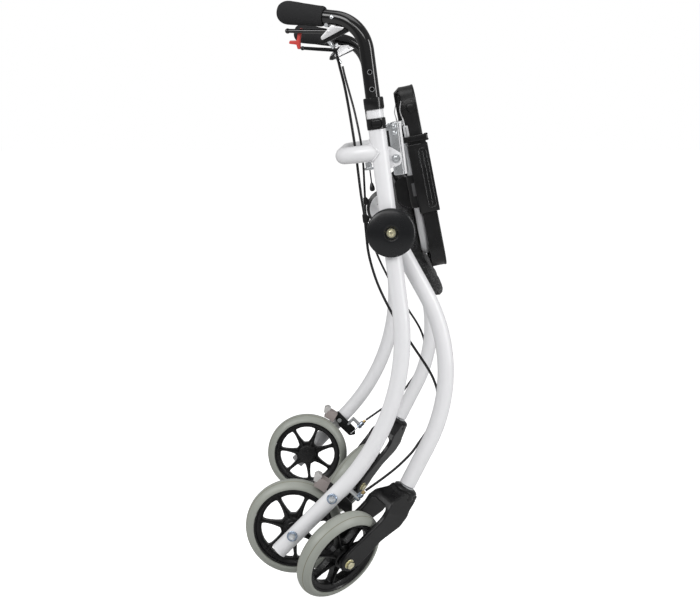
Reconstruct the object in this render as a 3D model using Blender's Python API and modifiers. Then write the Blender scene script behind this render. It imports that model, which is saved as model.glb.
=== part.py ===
"""Indoor rollator stored upright with its legs folded: metres, +Z up, front towards +X."""
import math

import bmesh
import bpy
from mathutils import Matrix, Vector

# The hub axis above the floor, and the mid-plane, which lies off zero because both casters swing to -Y
HUB_X = 0.0626
MID_Y = 0.0235
HUB_Z = 0.5656
SIDES = (("right", -1), ("left", 1))
GAP = 0.0003

# Frame tubes
TUBE_R = 0.0125
BORE_R = 0.0110
SIDE_Y = 0.250
LEG_Y = 0.220
LEAN = 7.6
UPRIGHT_X = -0.0009
SIDE_TOP = 0.194
SIDE_BENDS = ((0.1173, 0.335, -51.8), (0.1316, 0, 0))
LEG_TOP = 0.016
LEG_LEAN = 29.2
LEG_BENDS = ((0.1082, 0.252, -55.6), (0.0690, 0, 0))
PIN_R = 0.004
PIN_HOLE_R = 0.0043

# Cross bow behind the uprights
BOW_Z = 0.118
BOW_BACK = 0.054
BOW_CORNER_R = 0.045

# Hub
HUB_COVER_R = 0.036
HUB_COVER_Y = (0.2643, 0.275)
SPACER_R = 0.030
SPACER_Y = (0.233, 0.237)
CROSS_TUBE_R = 0.014
CROSS_TUBE_Y = 0.2072

# Height adjustment
COLLAR_R = 0.0145
COLLAR_Z = (0.179, 0.196)
BAND_R = 0.014
BAND_Z = (0.1506, 0.1665)
BUTTON_Z = 0.1585
BUTTON_SIZE = (0.0150, 0.0105)

# Handles, toed in about the upright
TOE_IN = 20.0
HANDLE_R = 0.0105
HANDLE_FOOT = 0.062
HANDLE_RISE = 14.5
HANDLE_BEND_R = 0.055
HANDLE_TOP = 0.306
HOLE_TOP = 0.2325
HOLE_PITCH = 0.0245
GRIP_FROM = 0.062
GRIP_TO = 0.138
GRIP_R = (0.0140, 0.0172)
LEVER_PIVOT = (-0.052, 0.2985)
LEVER_R = 0.0034
LEVER_BOSS_R = 0.0044

# Casters and wheels
CROWN = (0.0268, -0.3957)
STEM_TILT = 30.5
SWIVEL = {"right": 46.0, "left": 65.0}
TRAIL = 0.061
STEM_DROP = 0.132
WHEEL_R = 0.075
TYRE_HALF = 0.0148
BEAD_R = 0.0615
RIM_HALF = 0.0125
BARREL_R = 0.0165
SPOKES = 7
FORK_HALF = 0.025
FORK_SLOT_HALF = 0.0178
FORK_ARCH_Z = -0.033
REAR_AXLE = (-0.1475, -0.4608)
REAR_WHEEL_Y = 0.214

# Brakes
BRAKE_PIVOT = (-0.087, -0.402)
CABLE_R = 0.0020

# Tray, its frame and the bag
TRAY_PIVOT = (0.0221, 0.105)
TRAY_LEAN = 11.4
TRAY_HALF_WIDTH = 0.195
TRAY_Z = (-0.1765, 0.102)
TRAY_X = (0.0246, 0.0452)
TRAY_WALL = 0.003
TRAY_TUBE_R = 0.007
TRAY_TUBE_X = 0.020
TRAY_TUBE_Y = 0.182
BAG_HALF_WIDTH = 0.170
BAG_CLOTH = 0.0025
BAG_HINGE = (0.0000, -0.040)

# Finishes: colour, roughness, metallic
WHITE_PAINT = ((0.86, 0.86, 0.87), 0.30, 0.0)
GLOSS_BLACK = ((0.012, 0.012, 0.014), 0.16, 0.0)
SATIN_BLACK = ((0.020, 0.020, 0.022), 0.42, 0.0)
FOAM_BLACK = ((0.030, 0.030, 0.031), 0.90, 0.0)
TYRE_GREY = ((0.300, 0.315, 0.285), 0.60, 0.0)
ZINC = ((0.62, 0.64, 0.66), 0.32, 1.0)
YELLOW_ZINC = ((0.66, 0.62, 0.46), 0.35, 1.0)
SHOE_GREY = ((0.42, 0.37, 0.36), 0.70, 0.0)
RED_PLASTIC = ((0.60, 0.035, 0.030), 0.40, 0.0)
CABLE_BLACK = ((0.016, 0.016, 0.017), 0.35, 0.0)
BAG_MESH = ((0.018, 0.018, 0.020), 0.85, 0.0)

for old in list(bpy.data.objects):
    bpy.data.objects.remove(old, do_unlink=True)

parts = bpy.data.collections.new("indoor_rollator")
guides = bpy.data.collections.new("cutters")
axes = bpy.data.collections.new("axes")
for collection in (parts, guides, axes):
    bpy.context.scene.collection.children.link(collection)


def axis_point(name, parent=None, location=(0, 0, 0), turn=(0, 0, 0)):
    """Empty that carries pieces or marks a joint's axis; turn is in degrees."""
    empty = bpy.data.objects.new(name, None)
    empty.empty_display_size = 0.02
    empty.parent = parent
    empty.location = location
    empty.rotation_euler = [math.radians(a) for a in turn]
    axes.objects.link(empty)
    return empty


def material(name, finish):
    """Principled material for one sub-part."""
    colour, roughness, metallic = finish
    made = bpy.data.materials.new(name + "_finish")
    made.use_nodes = True
    shader = made.node_tree.nodes["Principled BSDF"]
    shader.inputs["Base Color"].default_value = (*colour, 1)
    shader.inputs["Roughness"].default_value = roughness
    shader.inputs["Metallic"].default_value = metallic
    return made


def place(name, data, parent, finish, location=(0, 0, 0), turn=(0, 0, 0)):
    """Add an object: a sub-part when it has a finish, or else a guide for a Boolean."""
    obj = bpy.data.objects.new(name, data)
    obj.parent = parent
    obj.location = location
    obj.rotation_euler = turn
    if finish is None:
        obj.hide_render = True
        obj.display_type = "WIRE"
        guides.objects.link(obj)
    else:
        data.materials.clear()
        data.materials.append(material(name, finish))
        parts.objects.link(obj)
    return obj


def smooth(mesh):
    """Shade a round mesh smooth, with its corners left sharp."""
    mesh.shade_smooth()
    mesh.set_sharp_from_angle(angle=math.radians(35))


def mesh_from(name, bm):
    mesh = bpy.data.meshes.new(name)
    bm.to_mesh(mesh)
    bm.free()
    return mesh


def box(name, parent, finish, low, high):
    """Block between two corners."""
    low, high = Vector(low), Vector(high)
    bm = bmesh.new()
    bmesh.ops.create_cube(bm, size=1, matrix=Matrix.Diagonal((*(high - low), 1)))
    return place(name, mesh_from(name, bm), parent, finish, (low + high) / 2)


def sorted_corners(a, b):
    """Lowest and highest corners of the block between two points."""
    return [min(p, q) for p, q in zip(a, b)], [max(p, q) for p, q in zip(a, b)]


def rod(name, parent, finish, radius, start, end, sides=20, end_radius=None):
    """Round bar, or a cone, from start to end."""
    start, end = Vector(start), Vector(end)
    along = end - start
    bm = bmesh.new()
    bmesh.ops.create_cone(
        bm, cap_ends=True, segments=sides, depth=along.length,
        radius1=radius, radius2=radius if end_radius is None else end_radius,
    )
    mesh = mesh_from(name, bm)
    smooth(mesh)
    turn = along.to_track_quat("Z", "Y").to_euler()
    return place(name, mesh, parent, finish, (start + end) / 2, turn)


def turned(name, parent, finish, profile, start, end, steps=28):
    """Turned piece: the (radius, height) profile runs down its outer side, height from start to end."""
    start, end = Vector(start), Vector(end)
    closed = profile[0][0] > 0
    bm = bmesh.new()
    ring = [bm.verts.new((radius, 0, height)) for radius, height in profile]
    for a, b in zip(ring, ring[1:]):
        bm.edges.new((a, b))
    if closed:
        bm.edges.new((ring[-1], ring[0]))
    turn = (end - start).to_track_quat("Z", "Y").to_euler()
    obj = place(name, mesh_from(name, bm), parent, finish, start, turn)
    screw = obj.modifiers.new("turn", "SCREW")
    screw.axis = "Z"
    screw.steps = steps
    screw.render_steps = steps
    screw.use_merge_vertices = True
    screw.merge_threshold = 0.00001
    screw.use_smooth_shade = True
    return obj


def curve(name, parent, finish, splines, plane_y=None, **settings):
    """POLY curve object; flat outlines in X and Z lie on the plane at plane_y."""
    data = bpy.data.curves.new(name, "CURVE")
    for key, value in settings.items():
        setattr(data, key, value)
    for points in splines:
        spline = data.splines.new("POLY")
        spline.points.add(len(points) - 1)
        for point, place_at in zip(spline.points, points):
            point.co = (*place_at, 0, 1) if len(place_at) == 2 else (*place_at, 1)
        spline.use_cyclic_u = plane_y is not None
    if plane_y is None:
        return place(name, data, parent, finish)
    return place(name, data, parent, finish, (0, plane_y, 0), (math.pi / 2, 0, 0))


def tube(name, parent, finish, points, radius, resolution=4):
    """Tube, wire or rail along points, with closed ends."""
    return curve(
        name, parent, finish, [points], dimensions="3D", fill_mode="FULL",
        bevel_depth=radius, bevel_resolution=resolution, use_fill_caps=True,
    )


def plate(name, parent, finish, outlines, y_span):
    """Flat piece cut from outlines in X and Z, between two values of Y."""
    low, high = sorted(y_span)
    return curve(
        name, parent, finish, outlines, plane_y=(low + high) / 2, dimensions="2D",
        fill_mode="BOTH", extrude=(high - low) / 2,
    )


def as_mesh(obj):
    """Swap a curve object for a closed mesh object, which a Boolean can use."""
    bpy.context.view_layer.update()
    graph = bpy.context.evaluated_depsgraph_get()
    mesh = bpy.data.meshes.new_from_object(obj.evaluated_get(graph))
    bm = bmesh.new()
    bm.from_mesh(mesh)
    bmesh.ops.remove_doubles(bm, verts=bm.verts, dist=0.000001)
    bm.to_mesh(mesh)
    bm.free()
    name, parent, world = obj.name, obj.parent, obj.matrix_world.copy()
    home = obj.users_collection[0]
    bpy.data.objects.remove(obj, do_unlink=True)
    solid = bpy.data.objects.new(name, mesh)
    home.objects.link(solid)
    solid.parent = parent
    solid.matrix_world = world
    if home == guides:
        solid.hide_render = True
        solid.display_type = "WIRE"
    return solid


def boolean(obj, others, operation):
    for other in others:
        modifier = obj.modifiers.new(operation.lower(), "BOOLEAN")
        modifier.operation = operation
        modifier.solver = "EXACT"
        modifier.object = other
    return obj


def cut(obj, *cutters):
    return boolean(obj, cutters, "DIFFERENCE")


def join(obj, *others):
    return boolean(obj, others, "UNION")


def walk(start, heading, legs, step=6.0):
    """Points of a bent tube in a plane: each leg is a straight length, a bend radius and a turn."""
    point = Vector(start)
    angle = math.radians(heading)
    points = [point.copy()]
    for length, radius, turn in legs:
        point = point + length * Vector((math.cos(angle), math.sin(angle)))
        points.append(point.copy())
        if not turn:
            continue
        side = math.copysign(1, turn)
        centre = point + side * radius * Vector((-math.sin(angle), math.cos(angle)))
        count = max(2, round(abs(turn) / step))
        for i in range(1, count + 1):
            now = angle + math.radians(turn) * i / count
            points.append(centre + side * radius * Vector((math.sin(now), -math.cos(now))))
        angle += math.radians(turn)
        point = points[-1].copy()
    return points


def rounded(outline, radius, steps=3):
    """Outline with each corner turned into an arc of about the given radius."""
    points = []
    count = len(outline)
    for i, corner in enumerate(outline):
        corner = Vector(corner)
        before = Vector(outline[i - 1]) - corner
        after = Vector(outline[(i + 1) % count]) - corner
        half = before.angle(after) / 2
        reach = min(radius / math.tan(half), 0.49 * before.length, 0.49 * after.length)
        first = corner + reach * before.normalized()
        last = corner + reach * after.normalized()
        for k in range(steps + 1):
            t = k / steps
            points.append(first * (1 - t) ** 2 + corner * 2 * t * (1 - t) + last * t ** 2)
    return points


def at(point, y):
    """Point in X and Z, placed at y."""
    return (point[0], y, point[1])


def smooth_route(points, count):
    """Points spaced along a smooth curve through a hand-laid route."""
    laid = [Vector(p) for p in points]
    laid = [2 * laid[0] - laid[1]] + laid + [2 * laid[-1] - laid[-2]]
    fine = []
    for a, b, c, d in zip(laid, laid[1:], laid[2:], laid[3:]):
        for i in range(12):
            t = i / 12
            fine.append(0.5 * (2 * b + (c - a) * t + (2 * a - 5 * b + 4 * c - d) * t ** 2
                               + (3 * b - a - 3 * c + d) * t ** 3))
    fine.append(laid[-2])
    lengths = [0.0]
    for a, b in zip(fine, fine[1:]):
        lengths.append(lengths[-1] + (b - a).length)
    spaced = []
    k = 0
    for i in range(count):
        goal = lengths[-1] * i / (count - 1)
        while k < len(fine) - 2 and lengths[k + 1] < goal:
            k += 1
        share = (goal - lengths[k]) / (lengths[k + 1] - lengths[k])
        spaced.append(fine[k].lerp(fine[k + 1], share))
    return spaced


hub = axis_point("hub_axis", None, (HUB_X, MID_Y, HUB_Z))
upright = axis_point("upright_frame", hub, (UPRIGHT_X, 0, 0), (0, -LEAN, 0))
tray_axis = axis_point("tray_axis", upright, at(TRAY_PIVOT, 0), (0, LEAN - TRAY_LEAN, 0))
bag_axis = axis_point("bag_axis", tray_axis, at(BAG_HINGE, 0))


def side_tube(word, side):
    """Upright and rear leg in one tube, with a welded gusset, the handle's bore and the bolt holes."""
    lean = math.radians(LEAN)
    top = (UPRIGHT_X - SIDE_TOP * math.sin(lean), SIDE_TOP * math.cos(lean))
    legs = ((SIDE_TOP + SIDE_BENDS[0][0], *SIDE_BENDS[0][1:]), SIDE_BENDS[1])
    path = walk(top, LEAN - 90, legs)
    y = side * SIDE_Y
    obj = as_mesh(tube(f"side_tube_{word}", hub, WHITE_PAINT, [at(p, y) for p in path], TUBE_R))
    bore = rod(f"cut_bore_{word}", upright, None, BORE_R, (0, y, 0.010), (0, y, 0.21), 16)
    hub_hole = rod(f"cut_hub_{word}", hub, None, PIN_HOLE_R, (0, y - 0.02, 0), (0, y + 0.02, 0), 10)
    cutters = [bore, hub_hole]
    for label, spot in (("axle", REAR_AXLE), ("brake", BRAKE_PIVOT)):
        ends = at(spot, y - 0.02), at(spot, y + 0.02)
        cutters.append(rod(f"cut_{label}_{word}", hub, None, PIN_HOLE_R, *ends, 10))
    ends = at((0, BUTTON_Z), y), at((0, BUTTON_Z), y + side * 0.02)
    cutters.append(rod(f"cut_button_{word}", upright, None, 0.0040, *ends, 10))
    outline = rounded([(0.0080, 0.0900), (0.0295, 0.0960), (0.0300, 0.1120), (0.0080, 0.1290)], 0.007, 2)
    gusset = as_mesh(plate(f"gusset_{word}", upright, None, [outline], (side * 0.239, side * 0.243)))
    pivot = at(TRAY_PIVOT, side * 0.23), at(TRAY_PIVOT, side * 0.25)
    cutters.append(rod(f"cut_gusset_{word}", upright, None, 0.0033, *pivot, 8))
    return cut(join(obj, gusset), *cutters)


def cross_bow():
    """White tube that joins the uprights behind, its ends shaped to the side tubes."""
    straight = BOW_BACK - BOW_CORNER_R
    across = 2 * (SIDE_Y - BOW_CORNER_R)
    legs = ((straight, BOW_CORNER_R, 90), (across, BOW_CORNER_R, 90), (straight, 0, 0))
    path = walk((0, -SIDE_Y), 180, [(a, b, -c) for a, b, c in legs], step=15)
    obj = as_mesh(tube("cross_bow", upright, WHITE_PAINT, [(x, y, BOW_Z) for x, y in path], TUBE_R))
    saddles = []
    for word, side in SIDES:
        ends = (0, side * SIDE_Y, 0.05), (0, side * SIDE_Y, 0.19)
        saddles.append(rod(f"cut_saddle_{word}", upright, None, TUBE_R + GAP, *ends, 24))
    return cut(obj, *saddles)


def tray_pivot_bolt(word, side):
    """Shouldered bolt with a nut, on which the tray turns."""
    profile = [
        (0, 0.2470), (0.0058, 0.2470), (0.0058, 0.2433), (0.0030, 0.2433), (0.0030, 0.2387), (0.0060, 0.2387),
        (0.0060, 0.2300), (0.0030, 0.2300), (0.0030, 0.2262), (0.0055, 0.2262), (0.0055, 0.2225), (0, 0.2225),
    ]
    ends = at(TRAY_PIVOT, 0), at(TRAY_PIVOT, side)
    return turned(f"tray_pivot_bolt_{word}", upright, ZINC, profile, *ends, 10)


def height_collar(word, side):
    """Black guide bush on the tube's top, joined by a strip to the band that holds the height button."""
    y = side * SIDE_Y
    inner = TUBE_R + GAP
    low, high = COLLAR_Z
    lip = SIDE_TOP + GAP
    collar = [(COLLAR_R - 0.001, high), (COLLAR_R, high - 0.001), (COLLAR_R, low), (inner, low), (inner, lip),
              (0.0110, lip), (0.0110, high)]
    obj = turned(f"height_collar_{word}", upright, SATIN_BLACK, collar, (0, y, 0), (0, y, 1), 20)
    low, high = BAND_Z
    band = [(BAND_R, high), (BAND_R, low), (inner, low), (inner, high)]
    ring = turned(f"band_{word}", upright, None, band, (0, y, 0), (0, y, 1), 20)
    bottom, top = (-0.0139, y - 0.002, high - 0.003), (-inner - 0.0002, y + 0.002, COLLAR_Z[0] + 0.003)
    strip = box(f"strip_{word}", upright, None, bottom, top)
    half_x, half_z = BUTTON_SIZE[0] / 2 + 0.0005, BUTTON_SIZE[1] / 2 + 0.0005
    window = rounded([(-half_x, BUTTON_Z - half_z), (half_x, BUTTON_Z - half_z),
                      (half_x, BUTTON_Z + half_z), (-half_x, BUTTON_Z + half_z)], half_z, 3)
    hole = as_mesh(plate(f"cut_window_{word}", upright, None, [window], (side * 0.255, side * 0.27)))
    return cut(join(obj, ring, strip), hole)


def height_button(word, side):
    """Oval push button whose stem enters a hole of the handle tube."""
    half_x, half_z = BUTTON_SIZE[0] / 2, BUTTON_SIZE[1] / 2
    oval = rounded([(-half_x, BUTTON_Z - half_z), (half_x, BUTTON_Z - half_z),
                    (half_x, BUTTON_Z + half_z), (-half_x, BUTTON_Z + half_z)], half_z, 3)
    depth = side * 0.2650, side * 0.2675
    head = as_mesh(plate(f"height_button_{word}", upright, GLOSS_BLACK, [oval], depth))
    ends = at((0, BUTTON_Z), side * 0.2629), at((0, BUTTON_Z), side * 0.2660)
    stem = rod(f"button_stem_{word}", upright, None, 0.0035, *ends, 14)
    return join(head, stem)


def hub_cover(word, side):
    """Black disc with a rounded edge and a recess for the bolt head."""
    inner, outer = HUB_COVER_Y
    profile = [
        (0.0100, outer), (HUB_COVER_R - 0.0022, outer), (HUB_COVER_R, outer - 0.0022), (HUB_COVER_R, inner),
        (PIN_HOLE_R, inner), (PIN_HOLE_R, outer - 0.0045), (0.0090, outer - 0.0045),
    ]
    return turned(f"hub_cover_{word}", hub, SATIN_BLACK, profile, (0, 0, 0), (0, side, 0), 32)


def hub_bolt(word, side):
    """Hexagon bolt through cover, side tube and front leg."""
    shank = rod(f"hub_bolt_{word}", hub, YELLOW_ZINC, PIN_R, (0, side * 0.2080, 0), (0, side * 0.2725, 0), 16)
    head = rod(f"hub_head_{word}", hub, None, 0.0070, (0, side * 0.2710, 0), (0, side * 0.2762, 0), 6)
    return join(shank, head)


def tube_bolt(name, side, spot, shoulder, tip):
    """Bolt with its head outside the side tube and a shoulder inside it."""
    profile = [
        (0, 0.2680), (0.0066, 0.2675), (0.0066, 0.2640), (0.0085, 0.2640), (0.0085, 0.2628),
        (PIN_R, 0.2628), (PIN_R, 0.2372), (0.0068, 0.2372), (0.0068, shoulder), (PIN_R, shoulder),
        (PIN_R, tip), (0, tip),
    ]
    return turned(name, hub, ZINC, profile, at(spot, 0), at(spot, side), 12)


def front_leg(word, side):
    """Curved front leg with its pivot hole and the disc that runs against the side tube."""
    lean = math.radians(LEG_LEAN)
    top = (-LEG_TOP * math.sin(lean), LEG_TOP * math.cos(lean))
    legs = ((LEG_TOP + LEG_BENDS[0][0], *LEG_BENDS[0][1:]), LEG_BENDS[1])
    path = walk(top, LEG_LEAN - 90, legs)
    y = side * LEG_Y
    obj = as_mesh(tube(f"front_leg_{word}", hub, WHITE_PAINT, [at(p, y) for p in path], TUBE_R))
    low, high = SPACER_Y
    disc = rod(f"spacer_{word}", hub, None, SPACER_R, (0, side * (low - 0.003), 0), (0, side * high, 0), 24)
    hole = rod(f"cut_leg_{word}", hub, None, PIN_HOLE_R, (0, y - 0.02, 0), (0, y + 0.02, 0), 10)
    return cut(join(obj, disc), hole)


def stem_bolt(word, stem):
    """Kingpin of a caster, with a washer under the leg's end."""
    profile = [
        (0, 0.0014), (0.0105, 0.0014), (0.0105, 0.0004), (0.0048, 0.0004), (0.0048, -0.024), (0, -0.024),
    ]
    return turned(f"stem_bolt_{word}", stem, ZINC, profile, (0, 0, 0), (0, 0, 1), 14)


def fork(word, swivel, axle):
    """Plastic caster fork: a crown with two thin cheeks, the wheel's slot open between them."""
    side_outline = rounded([
        (-0.0165, -0.0040), (0.0165, -0.0040), (0.0155, -0.0150), (0.0095, -0.0280), (0.0088, -0.0430),
        (0.0050, -0.0570), (-0.0070, -0.0720), (-0.0180, -0.0880), (-0.0240, -0.1060), (-0.0330, -0.1290),
        (-0.0460, -0.1460), (-0.0740, -0.1460), (-0.0865, -0.1270), (-0.0840, -0.1080), (-0.0735, -0.0850),
        (-0.0640, -0.0660), (-0.0560, -0.0500), (-0.0550, -0.0340), (-0.0470, -0.0190), (-0.0200, -0.0110),
    ], 0.010, 1)
    obj = as_mesh(plate(f"caster_fork_{word}", swivel, SATIN_BLACK, [side_outline], (-FORK_HALF, FORK_HALF)))
    front = rounded([(-0.0165, 0.01), (-0.0165, -0.0130), (-FORK_HALF, -0.0360), (-FORK_HALF, -0.16),
                     (FORK_HALF, -0.16), (FORK_HALF, -0.0360), (0.0165, -0.0130), (0.0165, 0.01)], 0.02, 1)
    mask = as_mesh(plate(f"mask_{word}", swivel, None, [front], (-0.12, 0.12)))
    mask.parent = axis_point(f"mask_turn_{word}", swivel, (0, 0, 0), (0, 0, 90))
    mask.matrix_parent_inverse = Matrix.Identity(4)
    mask.location = (0, 0, 0)
    boolean(obj, [mask], "INTERSECT")
    ring_profile = [
        (0, 0), (0.0175, 0), (0.0190, -0.0012), (0.0190, -0.0050), (0.0180, -0.0062), (0.0180, -0.0200),
        (0, -0.0200),
    ]
    ring = turned(f"ring_{word}", swivel, None, ring_profile, (0, 0, 0), (0, 0, 1), 20)
    slot = FORK_SLOT_HALF
    arch = rounded([(-slot, -0.16), (slot, -0.16), (slot, FORK_ARCH_Z), (-slot, FORK_ARCH_Z)], 0.007, 3)
    opening = as_mesh(plate(f"cut_slot_{word}", swivel, None, [arch], (-0.12, 0.12)))
    opening.parent = mask.parent
    opening.matrix_parent_inverse = Matrix.Identity(4)
    opening.location = (0, 0, 0)
    stem_bore = rod(f"cut_stem_{word}", swivel, None, 0.0052, (0, 0, -0.026), (0, 0, 0.02), 14)
    axle_bore = rod(f"cut_fork_axle_{word}", axle, None, PIN_HOLE_R, (0, -0.04, 0), (0, 0.04, 0), 12)
    return cut(join(obj, ring), opening, stem_bore, axle_bore)


def wheel_meshes():
    """Tyre and rim, made once around the Y axis and shared by all four wheels."""
    tyre_profile = [(BEAD_R, TYRE_HALF - 0.001)]
    for i in range(1, 6):
        angle = math.radians(90 - 30 * i)
        bulge = (WHEEL_R - BEAD_R - 0.0015) * abs(math.cos(angle)) ** 0.75
        tyre_profile.append((BEAD_R + 0.0015 + bulge, TYRE_HALF * math.sin(angle)))
    tyre_profile.append((BEAD_R, -TYRE_HALF + 0.001))
    tyre = turned("tyre_pattern", None, None, tyre_profile, (0, 0, 0), (0, 1, 0), 28)

    seat = BEAD_R - GAP
    web, neck = 0.0048, 0.0175
    side_a = [(0.0585, -RIM_HALF), (0.0515, -web), (neck, -web), (BARREL_R, -0.0142), (PIN_HOLE_R, -0.0142)]
    side_b = [(radius, -height) for radius, height in reversed(side_a)]
    section = [(seat, RIM_HALF), (seat, -RIM_HALF), *side_a, *side_b]
    rim = turned("rim_pattern", None, None, section, (0, 0, 0), (0, 1, 0), 28)
    windows = []
    for k in range(SPOKES):
        first = math.tau * k / SPOKES
        second = math.tau * (k + 1) / SPOKES
        corners = []
        for angle, edge in ((first, 1), (second, -1)):
            out = Vector((math.cos(angle), math.sin(angle)))
            across = Vector((-out.y, out.x)) * edge
            corners.append((out * 0.0225 + across * 0.0038, out * 0.0480 + across * 0.0042))
        (a_in, a_out), (b_in, b_out) = corners
        middle = (first + second) / 2
        crest = Vector((math.cos(middle), math.sin(middle))) * 0.0500
        window = plate(f"window_{k}", None, None, [[a_in, a_out, crest, b_out, b_in]], (-0.02, 0.02))
        windows.append(as_mesh(window))
    cut(rim, *windows)
    bpy.context.view_layer.update()
    graph = bpy.context.evaluated_depsgraph_get()
    meshes = []
    for source in (tyre, rim):
        mesh = bpy.data.meshes.new_from_object(source.evaluated_get(graph))
        mesh.transform(source.matrix_world)
        smooth(mesh)
        meshes.append(mesh)
    for source in (tyre, rim, *windows):
        bpy.data.objects.remove(source, do_unlink=True)
    return meshes


TYRE_MESH, RIM_MESH = wheel_meshes()


def wheel(label, parent):
    """Tyre and rim of one wheel on its axle."""
    place(f"{label}_tyre", TYRE_MESH.copy(), parent, TYRE_GREY)
    place(f"{label}_rim", RIM_MESH.copy(), parent, SATIN_BLACK)


def caster_bolt(word, parent):
    """Axle of a front wheel, with a nut at each end."""
    shank = rod(f"caster_bolt_{word}", parent, YELLOW_ZINC, PIN_R, (0, -0.0300, 0), (0, 0.0300, 0), 16)
    nuts = []
    for i, side in enumerate((-1, 1)):
        ends = (0, side * (FORK_HALF + GAP), 0), (0, side * 0.0315, 0)
        nuts.append(rod(f"nut_{word}_{i}", parent, None, 0.0075, *ends, 6))
    return join(shank, *nuts)


def handle_path():
    """Handle tube's centre line in X and Z: up the upright, then back to the grip."""
    turn = 90 - HANDLE_RISE
    tangent = HANDLE_BEND_R * math.tan(math.radians(turn / 2))
    foot = HANDLE_TOP - tangent - HANDLE_FOOT
    reach = GRIP_FROM + 0.057 - tangent
    return walk((0, HANDLE_FOOT), 90, ((foot, HANDLE_BEND_R, turn), (reach, 0, 0)), step=7.5)


def along_grip(distance, drop=0.0):
    """Point at a distance along the grip's axis from where the handle's two straights meet."""
    rise = math.radians(HANDLE_RISE)
    return Vector((
        -distance * math.cos(rise) - drop * math.sin(rise),
        HANDLE_TOP + distance * math.sin(rise) - drop * math.cos(rise),
    ))


def handle(word, side, frame):
    """Handle tube with its row of height holes on the outer side."""
    path = handle_path()
    obj = as_mesh(tube(f"handle_tube_{word}", frame, GLOSS_BLACK, [at(p, 0) for p in path], HANDLE_R))
    turned_back = axis_point(f"hole_row_{word}", frame, (0, 0, 0), (0, 0, -side * TOE_IN))
    cutters = [rod(f"cut_handle_{word}", frame, None, 0.0086, (0, 0, 0.05), (0, 0, 0.243), 12)]
    for i in range(6):
        z = HOLE_TOP - i * HOLE_PITCH
        ends = (0, side * 0.004, z), (0, side * 0.02, z)
        cutters.append(rod(f"cut_height_{word}_{i}", turned_back, None, 0.0037, *ends, 8))
    return cut(obj, *cutters)


def grip(word, frame):
    """Foam grip that swells towards its rounded rear end."""
    length = GRIP_TO - GRIP_FROM
    front_r, rear_r = GRIP_R
    profile = [(0, length)]
    for i in range(1, 5):
        angle = math.radians(22.5 * i)
        profile.append((rear_r * math.sin(angle), length - 0.018 + 0.018 * math.cos(angle)))
    profile += [(0.0158, 0.030), (front_r, 0.0040), (front_r - 0.0015, 0), (0, 0)]
    start, end = along_grip(GRIP_FROM), along_grip(GRIP_TO)
    obj = turned(f"grip_{word}", frame, FOAM_BLACK, profile, at(start, 0), at(end, 0), 18)
    inside = at(along_grip(0.05), 0), at(along_grip(0.1195), 0)
    bore = rod(f"cut_grip_{word}", frame, None, HANDLE_R + GAP, *inside, 20)
    return cut(obj, bore)


def lever_bracket(word, frame):
    """Black arm under the bend that carries the lever and the ferrule of its cable."""
    outline = rounded([
        (-0.0700, 0.2835), (-0.0640, 0.2825), (-0.0180, 0.2965), (-0.0230, 0.3080), (-0.0300, 0.3035),
        (-0.0680, 0.2900),
    ], 0.002, 2)
    obj = as_mesh(plate(f"lever_bracket_{word}", frame, SATIN_BLACK, [outline], (-0.0045, 0.0045)))
    ends = (-0.0575, 0, 0.2880), (-0.0500, 0, 0.2745)
    ferrule = rod(f"ferrule_{word}", frame, None, 0.0036, *ends, 14, 0.0030)
    hollow = tube(f"cut_bracket_{word}", frame, None, [at(p, 0) for p in handle_path()], HANDLE_R + GAP)
    ends = at(LEVER_PIVOT, -0.01), at(LEVER_PIVOT, 0.01)
    eye = rod(f"cut_lever_eye_{word}", frame, None, LEVER_BOSS_R + 0.0005, *ends, 16)
    return cut(join(obj, ferrule), as_mesh(hollow), eye)


def lever_cheeks(word, frame):
    """Silver plates on both sides of the lever, riveted together by its pivot pin."""
    outline = rounded([
        (-0.0490, 0.3068), (-0.0302, 0.3016), (-0.0340, 0.2990), (-0.0664, 0.2878), (-0.0674, 0.2925),
    ], 0.002, 2)
    near = as_mesh(plate(f"lever_cheeks_{word}", frame, ZINC, [outline], (-0.0068, -0.0048)))
    far = as_mesh(plate(f"cheek_far_{word}", frame, None, [outline], (0.0048, 0.0068)))
    pin = rod(f"pin_{word}", frame, None, 0.0020, at(LEVER_PIVOT, -0.0060), at(LEVER_PIVOT, 0.0060), 10)
    heads = []
    for i, face in enumerate((-1, 1)):
        ends = at(LEVER_PIVOT, face * 0.0062), at(LEVER_PIVOT, face * 0.0085)
        heads.append(rod(f"pin_head_{word}_{i}", frame, None, 0.0032, *ends, 12))
    return join(near, far, pin, *heads)


def brake_lever(word, frame):
    """Lever bar from its eye to the ball at the rear."""
    eye = at(LEVER_PIVOT, 0)
    bar = as_mesh(tube(
        f"brake_lever_{word}", frame, GLOSS_BLACK,
        [eye, (-0.0620, 0, 0.3005), (-0.0900, 0, 0.3048), (-0.1185, 0, 0.3097)], LEVER_R, 3))
    bm = bmesh.new()
    bmesh.ops.create_uvsphere(bm, u_segments=10, v_segments=6, radius=0.0046)
    ball = place(f"ball_{word}", mesh_from("ball", bm), frame, None, (-0.1190, 0, 0.3097))
    ends = at(LEVER_PIVOT, -0.0042), at(LEVER_PIVOT, 0.0042)
    boss = rod(f"boss_{word}", frame, None, LEVER_BOSS_R, *ends, 16)
    hole = rod(f"cut_eye_{word}", frame, None, 0.0023, at(LEVER_PIVOT, -0.02), at(LEVER_PIVOT, 0.02), 8)
    return cut(join(bar, ball, boss), hole)


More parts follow.
